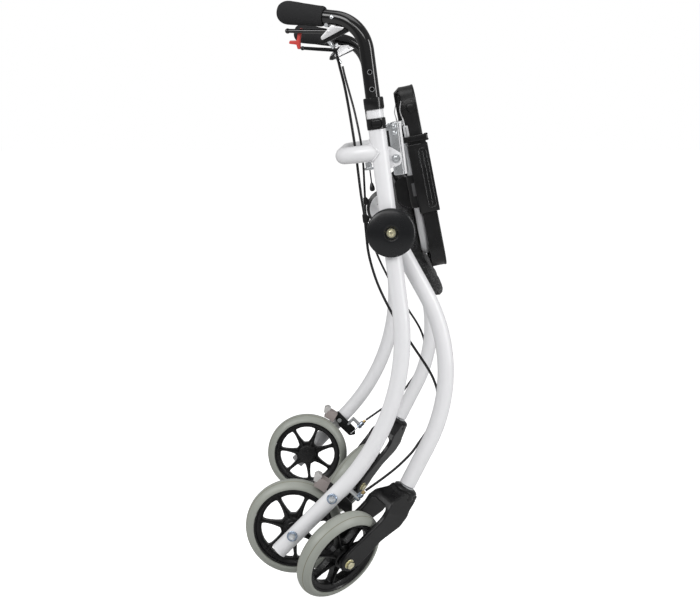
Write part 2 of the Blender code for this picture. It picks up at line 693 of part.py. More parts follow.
def parking_catch(frame, side):
    """Red catch that hangs beside the right lever and locks both brakes."""
    outline = rounded([
        (-0.0968, 0.3108), (-0.1008, 0.3112), (-0.1055, 0.3040), (-0.1085, 0.2945), (-0.1195, 0.2960),
        (-0.1220, 0.2915), (-0.1100, 0.2885), (-0.1090, 0.2815), (-0.1050, 0.2815), (-0.1030, 0.2950),
        (-0.1000, 0.3040),
    ], 0.0015, 2)
    inner = -side * (LEVER_R + 0.0010)
    return plate("parking_catch", frame, RED_PLASTIC, [outline], (inner, inner - side * 0.0045))


def brake_arm(word, side, frame):
    """Pressed steel arm between the rear leg and the wheel."""
    outline = rounded([
        (-0.0235, 0.0190), (-0.0140, 0.0275), (0.0300, -0.0180), (0.0300, -0.0280), (0.0190, -0.0290),
        (0, -0.0110),
    ], 0.004, 2)
    obj = as_mesh(plate(f"brake_arm_{word}", frame, SATIN_BLACK, [outline], (side * 0.2312, side * 0.2362)))
    hole = rod(f"cut_arm_{word}", frame, None, PIN_HOLE_R, (0, side * 0.22, 0), (0, side * 0.25, 0), 10)
    return cut(obj, hole)


def brake_shoe(word, side, frame):
    """Block of hard rubber that is pressed on the tyre."""
    px, pz = BRAKE_PIVOT
    wheel_x, wheel_z = REAR_AXLE[0] - px, REAR_AXLE[1] - pz
    aim = math.atan2(0.0141 - wheel_z, -0.0149 - wheel_x)
    section = ((0.0768, -0.0100), (0.0768, 0.0100), (0.0920, 0.0100), (0.0960, 0.0040), (0.0960, -0.0100))
    points = []
    for radius, across in section:
        points.append((
            wheel_x + radius * math.cos(aim) - across * math.sin(aim),
            wheel_z + radius * math.sin(aim) + across * math.cos(aim),
        ))
    outline = rounded(points, 0.0015, 2)
    obj = as_mesh(plate(f"brake_shoe_{word}", frame, SHOE_GREY, [outline], (side * 0.2020, side * 0.2309)))
    ends = (wheel_x, side * 0.19, wheel_z), (wheel_x, side * 0.24, wheel_z)
    return cut(obj, rod(f"cut_shoe_{word}", frame, None, WHEEL_R + 0.0013, *ends, 60))


CABLE_END = Vector((-0.0375, -0.3905))
CABLE_WAY = Vector((-0.73, -0.68)).normalized()


def cable_stop(word, side):
    """Bent bracket on the rear leg with the threaded barrel that takes the cable's end."""
    outline = rounded([
        (-0.0715, -0.3975), (-0.0600, -0.3860), (-0.0450, -0.4010), (-0.0475, -0.4035), (-0.0600, -0.3910),
        (-0.0690, -0.4000),
    ], 0.001, 1)
    obj = as_mesh(plate(f"cable_stop_{word}", hub, ZINC, [outline], (side * 0.2210, side * 0.2360)))
    y = side * 0.2265
    first, second, last = [CABLE_END + CABLE_WAY * d for d in (0.0006, 0.0060, 0.0185)]
    tip = rod(f"tip_{word}", hub, None, 0.0026, at(first, y), at(second + CABLE_WAY * 0.001, y), 12)
    barrel = rod(f"barrel_{word}", hub, None, 0.0040, at(second, y), at(last, y), 12)
    return join(obj, tip, barrel)


# Along the cable: x on the right and on the left, z, then the distance from the mid-plane on each side
CABLE_ROUTE = (
    (-0.0805, -0.0805, 0.2610, 0.2330, 0.2330), (-0.0755, -0.0755, 0.2400, 0.2310, 0.2310),
    (-0.0685, -0.0675, 0.2120, 0.2270, 0.2270), (-0.0615, -0.0575, 0.1750, 0.2190, 0.2190),
    (-0.0535, -0.0470, 0.1250, 0.2080, 0.2080), (-0.0485, -0.0425, 0.0850, 0.2060, 0.2060),
    (-0.0440, -0.0405, 0.0500, 0.2055, 0.2090), (-0.0390, -0.0390, 0.0200, 0.2050, 0.2140),
    (-0.0365, -0.0380, -0.0050, 0.2045, 0.2170), (-0.0330, -0.0330, -0.0350, 0.2040, 0.2190),
    (-0.0255, -0.0235, -0.0640, 0.2040, 0.2200), (-0.0155, -0.0130, -0.0910, 0.2035, 0.2210),
    (0.0008, 0.0030, -0.1240, 0.2030, 0.2230), (0.0175, 0.0190, -0.1520, 0.2030, 0.2270),
    (0.0390, 0.0395, -0.1840, 0.2030, 0.2325), (0.0600, 0.0600, -0.2160, 0.2030, 0.2365),
    (0.0695, 0.0695, -0.2360, 0.2030, 0.2370), (0.0735, 0.0735, -0.2520, 0.2030, 0.2370),
    (0.0715, 0.0715, -0.2720, 0.2030, 0.2370), (0.0665, 0.0665, -0.2930, 0.2030, 0.2370),
    (0.0565, 0.0565, -0.3140, 0.2030, 0.2365), (0.0450, 0.0450, -0.3290, 0.2040, 0.2360),
    (0.0330, 0.0330, -0.3430, 0.2090, 0.2340), (0.0120, 0.0120, -0.3600, 0.2160, 0.2310),
    (-0.0120, -0.0120, -0.3750, 0.2230, 0.2280), (-0.0370, -0.0370, -0.3900, 0.2265, 0.2265),
)
CABLE_POINTS = 46


def brake_cable(word, side):
    """Housing from the lever's ferrule down to the barrel adjuster."""
    first = 0 if side < 0 else 1
    route = [(row[first], side * row[first + 3], row[2]) for row in CABLE_ROUTE]
    return tube(f"brake_cable_{word}", hub, CABLE_BLACK, smooth_route(route, CABLE_POINTS), CABLE_R, 2)


def bow_screw():
    """Screw under the bow that holds the eye of the fold pull."""
    y = -0.2475
    sleeve = rod("bow_screw", upright, ZINC, 0.0045, (-0.0190, y, 0.0975), (-0.0190, y, 0.1050), 16)
    nut = rod("bow_nut", upright, None, 0.0065, (-0.0190, y, 0.0935), (-0.0190, y, 0.0978), 6)
    tab = box("pull_tab", upright, None, (-0.0225, -0.2480, 0.1000), (-0.0135, -0.2290, 0.1014))
    hole = rod("cut_tab", upright, None, 0.0015, (-0.0180, -0.2320, 0.09), (-0.0180, -0.2320, 0.11), 10)
    return cut(join(sleeve, nut, tab), hole)


def fold_pull():
    """Cord and teardrop knob that release the folded legs."""
    x, y = -0.0180, -0.2320
    profile = [
        (0, 0.1106), (0.0010, 0.1106), (0.0010, 0.0740), (0.0022, 0.0730), (0.0040, 0.0660), (0.0034, 0.0625),
        (0, 0.0615),
    ]
    return turned("fold_pull", upright, SATIN_BLACK, profile, (x, y, 0), (x, y, 1), 12)


def serving_tray():
    """Black tray: a floor between deep rims on both faces."""
    low, high = TRAY_Z
    half = TRAY_HALF_WIDTH

    def slab(name, finish, inset, x_span):
        left, right, bottom, top = -half + inset, half - inset, low + inset, high - inset
        corners = [(left, bottom), (right, bottom), (right, top), (left, top)]
        obj = as_mesh(plate(name, None, finish, [rounded(corners, 0.035 - inset, 5)], x_span))
        obj.parent = tray_turn
        obj.matrix_parent_inverse = Matrix.Identity(4)
        return obj

    tray_turn = axis_point("tray_turn", tray_axis, (0, 0, 0), (0, 0, -90))
    body = slab("serving_tray", SATIN_BLACK, 0, TRAY_X)
    front = slab("cut_tray_front", None, TRAY_WALL, (0.0360, 0.05))
    back = slab("cut_tray_back", None, TRAY_WALL, (0.0, 0.0330))
    return cut(body, front, back)


def tray_frame():
    """Bent tube under the tray, welded to zinc angles that turn on the pivot bolts."""
    y, top, bottom, corner = TRAY_TUBE_Y, 0.052, -0.148, 0.028
    down = top - bottom - corner
    across = 2 * (y - corner)
    path = walk((-y, top), -90, ((down, corner, 90), (across, corner, 90), (down, 0, 0)), step=18)
    route = [(TRAY_TUBE_X, y, z) for y, z in path]
    obj = as_mesh(tube("tray_frame", tray_axis, ZINC, route, TRAY_TUBE_R, 3))
    outline = rounded([
        (0.0165, 0.080), (0.0330, 0.080), (0.0330, 0.158), (0.0230, 0.156), (0.0165, 0.148),
    ], 0.003, 2)
    angles = []
    for word, side in SIDES:
        flange = plate(f"flange_{word}", upright, None, [outline], (side * 0.2265, side * 0.2295))
        angles.append(as_mesh(flange))
        web = sorted_corners((0.0301, side * 0.1740, 0.0803), (0.0329, side * 0.2280, 0.1577))
        angles.append(box(f"web_{word}", upright, None, *web))
    hole = rod("cut_flange", upright, None, 0.0033, at(TRAY_PIVOT, -0.26), at(TRAY_PIVOT, 0.26), 8)
    return cut(join(obj, *angles), hole)


def tray_clip(word, side):
    """Black channel clipped over the tray's side edge, with a strap."""
    def block(label, low, high, name=None, finish=None):
        corners = sorted_corners((low[0], side * low[1], low[2]), (high[0], side * high[1], high[2]))
        return box(name or f"{label}_{word}", tray_axis, finish, *corners)

    name = f"tray_clip_{word}"
    body = block("clip", (0.0205, 0.1850, -0.092), (0.0512, 0.1992, 0.014), name, SATIN_BLACK)
    strap = block("strap", (0.0150, 0.1740, 0.0190), (0.0540, 0.1996, 0.0310))
    link = block("link", (0.0462, 0.1960, 0.0100), (0.0505, 0.1988, 0.0250))
    pocket = block("cut_clip", (0.0243, 0.1600, -0.12), (0.0455, 0.1953, 0.04))
    room = block("cut_clip_tube", (0.0, 0.1600, -0.12), (0.0400, 0.1905, 0.04))
    return cut(join(body, strap, link), pocket, room)


def bag():
    """Soft pouch behind the tray, open at the top."""
    hinge_x, hinge_z = BAG_HINGE
    outer = [
        (-0.0070, -0.0450), (-0.0095, -0.0800), (-0.0110, -0.1200), (-0.0120, -0.1600), (-0.0080, -0.1850),
        (0.0040, -0.2100), (0.0180, -0.2260), (0.0300, -0.2280), (0.0340, -0.2100), (0.0260, -0.1920),
        (0.0140, -0.1700), (0.0120, -0.1400), (0.0120, -0.0360),
    ]
    inner = [
        (-0.0045, -0.0300), (-0.0070, -0.0800), (-0.0085, -0.1200), (-0.0095, -0.1600), (-0.0056, -0.1840),
        (0.0060, -0.2075), (0.0190, -0.2220), (0.0275, -0.2235), (0.0300, -0.2100), (0.0225, -0.1925),
        (0.0110, -0.1720), (0.0095, -0.1400), (0.0095, -0.0200),
    ]

    def shifted(points):
        return [(x - hinge_x, z - hinge_z) for x, z in points]

    half = BAG_HALF_WIDTH
    obj = as_mesh(plate("bag", bag_axis, BAG_MESH, [shifted(outer)], (-half, half)))
    hollow = plate("cut_bag", bag_axis, None, [shifted(inner)], (-half + BAG_CLOTH, half - BAG_CLOTH))
    return cut(obj, as_mesh(hollow))


def caster(word, side):
    """Swivelling fork with its wheel, trailing where the photograph shows it."""
    stem = axis_point(f"stem_{word}", hub, at(CROWN, side * LEG_Y), (0, STEM_TILT, 0))
    swivel = axis_point(f"caster_axis_{word}", stem, (0, 0, 0), (0, 0, SWIVEL[word]))
    axle = axis_point(f"front_wheel_axis_{word}", swivel, (-TRAIL, 0, -STEM_DROP))
    stem_bolt(word, stem)
    fork(word, swivel, axle)
    wheel(f"front_{word}", axle)
    caster_bolt(word, axle)


def rear_corner(word, side):
    """Rear wheel with its brake arm and shoe, and the bolts that carry them."""
    axle = axis_point(f"rear_wheel_axis_{word}", hub, at(REAR_AXLE, side * REAR_WHEEL_Y))
    wheel(f"rear_{word}", axle)
    tube_bolt(f"rear_axle_bolt_{word}", side, REAR_AXLE, 0.2293, 0.1985)
    tube_bolt(f"brake_arm_bolt_{word}", side, BRAKE_PIVOT, 0.2366, 0.2290)
    pivot = axis_point(f"brake_arm_axis_{word}", hub, at(BRAKE_PIVOT, 0))
    brake_arm(word, side, pivot)
    brake_shoe(word, side, pivot)
    cable_stop(word, side)
    brake_cable(word, side)


def handlebar(word, side):
    """Handle with its grip and brake lever, toed in about the upright."""
    frame = axis_point(f"handle_frame_{word}", upright, (0, side * SIDE_Y, 0), (0, 0, side * TOE_IN))
    handle(word, side, frame)
    grip(word, frame)
    lever_bracket(word, frame)
    lever_cheeks(word, frame)
    axis_point(f"lever_axis_{word}", frame, at(LEVER_PIVOT, 0))
    brake_lever(word, frame)
    if word == "right":
        axis_point("catch_axis", frame, (-0.1000, 0, 0.3085))
        parking_catch(frame, side)


for word, side in SIDES:
    side_tube(word, side)
    height_collar(word, side)
    height_button(word, side)
    hub_cover(word, side)
    hub_bolt(word, side)
    front_leg(word, side)
    caster(word, side)
    rear_corner(word, side)
    handlebar(word, side)
    tray_pivot_bolt(word, side)
    tray_clip(word, side)
cross_bow()
rod("hub_cross_tube", hub, SATIN_BLACK, CROSS_TUBE_R, (0, -CROSS_TUBE_Y, 0), (0, CROSS_TUBE_Y, 0), 24)
bow_screw()
fold_pull()
serving_tray()
tray_frame()
bag()
bpy.context.view_layer.update()
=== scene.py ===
# %% [markdown]
# # An indoor rollator, folded and stored upright
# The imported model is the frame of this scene: it says where each piece sits and what it moves with.
# The cells below dress it piece by piece, from the camera and the brake cables to the mesh bag.
# Lengths are in millimetres while a piece is made, and it is scaled to metres when it is put in place.

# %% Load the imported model
import math

import bmesh
import bpy
from mathutils import Matrix, Vector, noise


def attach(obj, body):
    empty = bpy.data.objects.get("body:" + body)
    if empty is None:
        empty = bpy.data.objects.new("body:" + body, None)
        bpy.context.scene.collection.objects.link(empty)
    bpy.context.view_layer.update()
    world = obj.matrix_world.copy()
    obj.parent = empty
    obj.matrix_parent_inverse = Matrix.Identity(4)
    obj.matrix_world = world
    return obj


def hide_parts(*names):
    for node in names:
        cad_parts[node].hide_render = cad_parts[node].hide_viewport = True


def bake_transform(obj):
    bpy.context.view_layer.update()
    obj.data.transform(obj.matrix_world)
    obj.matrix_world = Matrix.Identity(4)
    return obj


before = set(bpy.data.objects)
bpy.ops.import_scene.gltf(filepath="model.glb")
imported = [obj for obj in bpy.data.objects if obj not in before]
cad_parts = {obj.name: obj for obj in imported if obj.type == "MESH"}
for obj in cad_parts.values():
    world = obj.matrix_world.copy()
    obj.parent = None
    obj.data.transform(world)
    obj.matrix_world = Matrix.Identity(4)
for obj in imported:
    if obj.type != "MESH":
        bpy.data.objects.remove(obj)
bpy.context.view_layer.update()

SIDES = (("right", -1), ("left", 1))
MM = Matrix.Scale(0.001, 4)

# %% [markdown]
# ## Where things are
# A walking frame is a set of plates and tubes set out from one pivot, so each piece is drawn in the frame of
# what carries it: the hub, the leaning upright, the tray, the toed-in handles and the swivelling casters.
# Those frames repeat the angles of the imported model, so nothing has to be fitted by eye afterwards.

# %% Frames of the hub, upright, tray, handles and wheels
def shift(x=0.0, y=0.0, z=0.0):
    """Move, given in millimetres."""
    return Matrix.Translation((x / 1000, y / 1000, z / 1000))


def turn(degrees, axis):
    return Matrix.Rotation(math.radians(degrees), 4, axis)


UPRIGHT_BACK, UPRIGHT_LEAN, UPRIGHT_Y = 0.9, 7.6, 250
TRAY_PIVOT_X, TRAY_PIVOT_Z, TRAY_LEAN = 22.1, 105, 3.8
BRAKE_PIVOT_X, BRAKE_PIVOT_Z = -87.0, -402.0
HANDLE_TOE_IN = 20
LEG_Y, STEM_X, STEM_Z, STEM_LEAN = 220, 26.8, -395.7, 30.5
CASTER_TURN = {"right": 46, "left": 65}
FORK_AXLE_X, FORK_AXLE_Z = -61, -132
REAR_AXLE_X, REAR_AXLE_Z, REAR_WHEEL_Y = -147.5, -460.8, 214

HUB = shift(62.6, 23.5, 565.6)
UPRIGHT = HUB @ shift(-UPRIGHT_BACK) @ turn(-UPRIGHT_LEAN, "Y")
TRAY = UPRIGHT @ shift(TRAY_PIVOT_X, 0, TRAY_PIVOT_Z) @ turn(-TRAY_LEAN, "Y")
BRAKE = HUB @ shift(BRAKE_PIVOT_X, 0, BRAKE_PIVOT_Z)
HANDLE, STEM, SWIVEL, FRONT_AXLE, REAR_AXLE = {}, {}, {}, {}, {}
for word, side in SIDES:
    HANDLE[word] = UPRIGHT @ shift(0, side * UPRIGHT_Y, 0) @ turn(side * HANDLE_TOE_IN, "Z")
    STEM[word] = HUB @ shift(STEM_X, side * LEG_Y, STEM_Z) @ turn(STEM_LEAN, "Y")
    SWIVEL[word] = STEM[word] @ turn(CASTER_TURN[word], "Z")
    FRONT_AXLE[word] = SWIVEL[word] @ shift(FORK_AXLE_X, 0, FORK_AXLE_Z)
    REAR_AXLE[word] = HUB @ shift(REAR_AXLE_X, side * REAR_WHEEL_Y, REAR_AXLE_Z)
print("right front axle is", round(FRONT_AXLE["right"].translation.z * 1000, 1), "mm above the floor")

# %% [markdown]
# ## Camera
# The photograph was taken from the rollator's right side with a moderately long lens, a little above the
# hub. The lens and place were worked out from the round hub cover and the wheels, which show scale and
# perspective.

# %% Camera
FOCAL_LENGTH = 63.06
CAMERA_FROM_HUB = (-0.0347, -2.0476, 0.1581)
LOOK_DOWN = 8.207
LOOK_ASIDE = 0.01414

view = bpy.data.cameras.new("side_view")
view.sensor_width = 36
view.lens = FOCAL_LENGTH
camera = bpy.data.objects.new("side_view", view)
bpy.context.scene.collection.objects.link(camera)
camera.location = HUB.translation + Vector(CAMERA_FROM_HUB)
camera.rotation_euler = (math.radians(90 - LOOK_DOWN), 0, LOOK_ASIDE)
bpy.context.scene.camera = camera
print("camera at", [round(x, 3) for x in camera.location])

# %% [markdown]
# ## Building a node tree in a few words
# Both materials and Geometry Nodes are trees of nodes joined by links. One helper adds a node, and fills
# each of its inputs either with a value or with another node's output, so a tree reads like a short recipe.

# %% Helper for node trees
def add(tree, kind, inputs=None, **settings):
    """Add a node; an input is a value, or an output socket to link from."""
    node = tree.nodes.new(kind)
    for key, value in settings.items():
        setattr(node, key, value)
    for key, value in (inputs or {}).items():
        if isinstance(value, bpy.types.NodeSocket):
            tree.links.new(value, node.inputs[key])
        else:
            node.inputs[key].default_value = value
    return node


def new_tree(name, kind, inputs, outputs):
    """Node group with named inputs and outputs, each a (name, socket type, first value)."""
    tree = bpy.data.node_groups.new(name, kind)
    for label, socket, value in inputs:
        made = tree.interface.new_socket(label, in_out="INPUT", socket_type="NodeSocket" + socket)
        if value is not None:
            made.default_value = value
    for label, socket in outputs:
        tree.interface.new_socket(label, in_out="OUTPUT", socket_type="NodeSocket" + socket)
    return tree, add(tree, "NodeGroupInput").outputs, add(tree, "NodeGroupOutput")


print("helpers for node trees:", add.__name__, "and", new_tree.__name__)

# %% [markdown]
# ## Effects that several finishes share
# Nothing on a used walking frame is one flat colour. Three groups give the variation: a fine relief for
# paint, plastic and foam, a slow drift of tone and gloss from handling, and pale dust that settles on upward
# faces.

# %% Shader group: fine relief
def relief_group():
    """Height of a fine, slightly pitted surface; grains per metre is its scale."""
    tree, given, out = new_tree(
        "fine_relief", "ShaderNodeTree",
        [("Grains per metre", "Float", 1500.0), ("Pitting", "Float", 0.3)], [("Height", "Float")])
    where = add(tree, "ShaderNodeTexCoord").outputs["Object"]
    grains = given["Grains per metre"]
    soft = add(tree, "ShaderNodeTexNoise", {"Vector": where, "Scale": grains, "Detail": 3.0})
    pits = add(tree, "ShaderNodeTexVoronoi", {"Vector": where, "Scale": grains}, feature="SMOOTH_F1")
    mixed = add(tree, "ShaderNodeMix", {"Factor": given["Pitting"], "A": soft.outputs["Fac"],
                                        "B": pits.outputs["Distance"]})
    tree.links.new(mixed.outputs["Result"], out.inputs["Height"])
    return tree


RELIEF = relief_group()
print(RELIEF.name, "has", len(RELIEF.nodes), "nodes")

# %% Shader group: tone and gloss that drift
def drift_group():
    """Colour and roughness that vary slowly over the surface."""
    tree, given, out = new_tree(
        "handling_drift", "ShaderNodeTree",
        [("Colour", "Color", (0.5, 0.5, 0.5, 1)), ("Roughness", "Float", 0.4),
         ("Amount", "Float", 0.15), ("Patches per metre", "Float", 25.0)],
        [("Colour", "Color"), ("Roughness", "Float")])
    where = add(tree, "ShaderNodeTexCoord").outputs["Object"]
    cloud = add(tree, "ShaderNodeTexNoise", {"Vector": where, "Scale": given["Patches per metre"],
                                             "Detail": 5.0, "Roughness": 0.6}).outputs["Fac"]
    away = add(tree, "ShaderNodeMath", {0: cloud, 1: 0.5}, operation="SUBTRACT").outputs[0]
    part = add(tree, "ShaderNodeMath", {0: away, 1: given["Amount"]}, operation="MULTIPLY").outputs[0]
    tone = add(tree, "ShaderNodeMath", {0: part, 1: 1.0}, operation="ADD").outputs[0]
    shade = add(tree, "ShaderNodeVectorMath", {0: given["Colour"], "Scale": tone}, operation="SCALE")
    gloss = add(tree, "ShaderNodeMath", {0: given["Roughness"], 1: part}, operation="ADD", use_clamp=True)
    tree.links.new(shade.outputs[0], out.inputs["Colour"])
    tree.links.new(gloss.outputs[0], out.inputs["Roughness"])
    return tree


DRIFT = drift_group()
print(DRIFT.name, "has", len(DRIFT.nodes), "nodes")

# %% Shader group: dust on upward faces
def dust_group():
    """Pale dust, thickest where the surface faces up."""
    tree, given, out = new_tree(
        "settled_dust", "ShaderNodeTree",
        [("Colour", "Color", (0.5, 0.5, 0.5, 1)), ("Dust", "Color", (0.45, 0.44, 0.42, 1)),
         ("Amount", "Float", 0.1)], [("Colour", "Color")])
    where = add(tree, "ShaderNodeTexCoord").outputs["Object"]
    facing = add(tree, "ShaderNodeNewGeometry").outputs["Normal"]
    up = add(tree, "ShaderNodeSeparateXYZ", {"Vector": facing}).outputs["Z"]
    cloud = add(tree, "ShaderNodeTexNoise", {"Vector": where, "Scale": 90.0, "Detail": 6.0}).outputs["Fac"]
    speck = add(tree, "ShaderNodeMapRange", {"Value": cloud, 1: 0.42, 2: 0.72}).outputs[0]
    lying = add(tree, "ShaderNodeMapRange", {"Value": up, 1: -0.3, 2: 1.0}).outputs[0]
    mask = add(tree, "ShaderNodeMath", {0: speck, 1: lying}, operation="MULTIPLY").outputs[0]
    thin = add(tree, "ShaderNodeMath", {0: mask, 1: given["Amount"]}, operation="MULTIPLY").outputs[0]
    mixed = add(tree, "ShaderNodeMix", {"Factor": thin, 6: given["Colour"], 7: given["Dust"]},
                data_type="RGBA")
    tree.links.new(mixed.outputs[2], out.inputs["Colour"])
    return tree


DUST = dust_group()
print(DUST.name, "has", len(DUST.nodes), "nodes")

# %% [markdown]
# ## Finishes
# Each finish is one material: powder paint, gloss paint, moulded plastic, foam, rubber, cloth, and zinc that
# is bright, bluish or yellow. The shader sits in the material itself, and the shared groups feed its colour,
# roughness and bump.

# %% Helper for a finish
RELIEF_HEIGHT = 0.0004


def finish(name, colour, roughness, metallic=0.0, grains=1500.0, pitting=0.3, depth=0.1, drift=0.12,
           patches=25.0, dust=0.0, **constants):
    """Material with relief, drift and dust; constants are set on the shader itself."""
    made = bpy.data.materials.new(name)
    made.use_nodes = True
    tree = made.node_tree
    shader = tree.nodes["Principled BSDF"]
    varied = add(tree, "ShaderNodeGroup", node_tree=DRIFT)
    varied.inputs["Colour"].default_value = (*colour, 1)
    varied.inputs["Roughness"].default_value = roughness
    varied.inputs["Amount"].default_value = drift
    varied.inputs["Patches per metre"].default_value = patches
    tone = varied.outputs["Colour"]
    if dust:
        settled = add(tree, "ShaderNodeGroup", node_tree=DUST)
        settled.inputs["Amount"].default_value = dust
        tree.links.new(tone, settled.inputs["Colour"])
        tone = settled.outputs["Colour"]
    relief = add(tree, "ShaderNodeGroup", node_tree=RELIEF)
    relief.inputs["Grains per metre"].default_value = grains
    relief.inputs["Pitting"].default_value = pitting
    bump = add(tree, "ShaderNodeBump", {"Strength": depth, "Distance": RELIEF_HEIGHT,
                                        "Height": relief.outputs[0]})
    tree.links.new(tone, shader.inputs["Base Color"])
    tree.links.new(varied.outputs["Roughness"], shader.inputs["Roughness"])
    tree.links.new(bump.outputs[0], shader.inputs["Normal"])
    shader.inputs["Metallic"].default_value = metallic
    for key, value in constants.items():
        shader.inputs[key.replace("_", " ")].default_value = value
    return made


print("each finish has a relief up to", RELIEF_HEIGHT * 1000, "mm high")

# %% Paint, plastic, foam, rubber and metal
WHITE_ENAMEL = finish("white_enamel", (0.79, 0.79, 0.805), 0.30, grains=700, depth=0.10, drift=0.05,
                      dust=0.04, Coat_Weight=0.15, Coat_Roughness=0.25)
GLOSS_BLACK = finish("gloss_black_enamel", (0.0035, 0.0035, 0.004), 0.10, grains=500, depth=0.03, drift=0.08,
                     Specular_IOR_Level=0.65)
MOULDED_BLACK = finish("moulded_black", (0.0045, 0.0045, 0.005), 0.30, grains=2600, pitting=0.6, depth=0.25,
                       drift=0.45, dust=0.035, Specular_IOR_Level=0.38)
COVER_BLACK = finish("turned_black_cover", (0.004, 0.0045, 0.0055), 0.26, grains=1800, depth=0.08,
                     drift=0.15, dust=0.02, Specular_IOR_Level=0.42)
FORK_BLACK = finish("fork_black", (0.0045, 0.0045, 0.005), 0.32, grains=2200, pitting=0.5, depth=0.12,
                    drift=0.30, dust=0.02, Specular_IOR_Level=0.32)
CLIP_BLACK = finish("satin_clip_black", (0.0045, 0.0045, 0.005), 0.20, grains=1600, depth=0.12, drift=0.25,
                    dust=0.03, Specular_IOR_Level=0.45)
FOAM = finish("charcoal_foam", (0.025, 0.025, 0.026), 0.92, grains=1700, pitting=0.7, depth=1.0, drift=0.30,
              patches=60, Specular_IOR_Level=0.15)
TYRE_RUBBER = finish("grey_tyre_rubber", (0.315, 0.330, 0.295), 0.40, grains=1500, pitting=0.5, depth=0.15,
                     drift=0.16, patches=40, dust=0.12, Specular_IOR_Level=0.5)
MOULD_LINE = finish("tyre_mould_line", (0.200, 0.190, 0.140), 0.60, grains=1500, depth=0.2, drift=0.3)
BRIGHT_ZINC = finish("bright_zinc", (0.72, 0.74, 0.76), 0.28, metallic=1.0, grains=900, pitting=0.4,
                     depth=0.025, drift=0.16, patches=70)
BLUE_ZINC = finish("blue_zinc", (0.50, 0.58, 0.70), 0.24, metallic=1.0, grains=900, pitting=0.4,
                   depth=0.06, drift=0.25, patches=160)
YELLOW_ZINC = finish("yellow_zinc", (0.78, 0.74, 0.52), 0.28, metallic=1.0, grains=900, pitting=0.5,
                     depth=0.08, drift=0.35, patches=140)
BRASS = finish("brass_tip", (0.72, 0.52, 0.24), 0.30, metallic=1.0, grains=1200, depth=0.1, drift=0.3)
PALE_ALLOY = finish("pale_alloy", (0.70, 0.70, 0.71), 0.42, metallic=0.5, grains=1300, depth=0.04,
                    drift=0.14)
SHOE_RUBBER = finish("brake_shoe_rubber", (0.30, 0.26, 0.25), 0.70, grains=1800, pitting=0.6, depth=0.5,
                     drift=0.25, dust=0.15)
SHOE_TIP = finish("brake_shoe_tip", (0.50, 0.49, 0.48), 0.55, grains=1500, pitting=0.5, depth=0.3, drift=0.2)
RED_PLASTIC = finish("red_plastic", (0.56, 0.045, 0.035), 0.38, grains=2000, depth=0.12, drift=0.15)
CABLE_JACKET = finish("cable_jacket", (0.008, 0.008, 0.009), 0.28, grains=1200, depth=0.12, drift=0.2,
                      Specular_IOR_Level=0.45)
LABEL_CLOTH = finish("grey_label_cloth", (0.14, 0.14, 0.145), 0.8, grains=1100, pitting=0.8, depth=0.9,
                     drift=0.5, patches=160)
print("finishes:", len(bpy.data.materials))

# %% [markdown]
# ## Shapes from outlines
# Most parts of the frame are either turned, like washers and hub covers, or cut from plate, like brackets. A
# profile of a few points spun about an axis makes the first kind, and an outline pulled to a thickness the
# second.

# %% Turned shapes
def mesh_of(bm):
    mesh = bpy.data.meshes.new("shape")
    bm.to_mesh(mesh)
    bm.free()
    return mesh


FULL_TURN_STEPS = 56


def turned(profile, start=(0, 0, 0), toward=(0, 0, 1), steps=FULL_TURN_STEPS):
    """Spin (radius, height) points about the axis from start toward a direction."""
    bm = bmesh.new()
    rings = []
    for radius, height in profile:
        count = steps if radius > 1e-6 else 1
        ring = []
        for i in range(count):
            angle = math.tau * i / steps
            ring.append(bm.verts.new((radius * math.cos(angle), radius * math.sin(angle), height)))
        rings.append(ring if count > 1 else ring * steps)
    if profile[0][0] > 1e-6:
        rings.append(rings[0])
    for a, b in zip(rings, rings[1:]):
        for i in range(steps):
            j = (i + 1) % steps
            corners = list(dict.fromkeys((a[i], a[j], b[j], b[i])))
            if len(corners) > 2:
                bm.faces.new(corners)
    bmesh.ops.recalc_face_normals(bm, faces=bm.faces)
    aim = Vector(toward).to_track_quat("Z", "Y").to_matrix().to_4x4()
    bmesh.ops.transform(bm, matrix=Matrix.Translation(start) @ aim, verts=bm.verts)
    return mesh_of(bm)


print("a turned shape has", FULL_TURN_STEPS, "steps unless it says otherwise")

# %% Plates and blocks
SHARP_ANGLE = 1.2


def rounded(outline, radius, steps=5):
    """Outline with its corners turned into arcs of about the given radius, or one radius for each corner."""
    points = []
    count = len(outline)
    for i, corner in enumerate(outline):
        corner = Vector(corner)
        before = Vector(outline[i - 1]) - corner
        after = Vector(outline[(i + 1) % count]) - corner
        size = radius[i] if isinstance(radius, (list, tuple)) else radius
        reach = min(size / math.tan(before.angle(after) / 2), 0.48 * before.length, 0.48 * after.length)
        first, last = corner + reach * before.normalized(), corner + reach * after.normalized()
        for k in range(steps + 1):
            t = k / steps
            points.append(first * (1 - t) ** 2 + corner * 2 * t * (1 - t) + last * t ** 2)
    return points


def plate(outline, low, high, edge=0.4, axis="Y"):
    """Outline pulled from low to high along Y (drawn in X and Z) or along Z (drawn in X and Y)."""
    bm = bmesh.new()
    lift = (lambda a, b: (a, low, b)) if axis == "Y" else (lambda a, b: (a, b, low))
    base = bm.faces.new([bm.verts.new(lift(a, b)) for a, b in outline])
    moved = bmesh.ops.extrude_face_region(bm, geom=[base])["geom"]
    push = Vector((0, high - low, 0) if axis == "Y" else (0, 0, high - low))
    bmesh.ops.translate(bm, verts=[v for v in moved if isinstance(v, bmesh.types.BMVert)], vec=push)
    bmesh.ops.recalc_face_normals(bm, faces=bm.faces)
    if edge:
        rims = [e for e in bm.edges if e.calc_face_angle(0) > SHARP_ANGLE
                and abs((e.verts[0].co - e.verts[1].co).dot(push)) < 1e-6]
        bmesh.ops.bevel(bm, geom=rims, offset=edge, segments=2, profile=0.6, affect="EDGES",
                        clamp_overlap=True)
    bmesh.ops.triangulate(bm, faces=[f for f in bm.faces if len(f.verts) > 4])
    return mesh_of(bm)


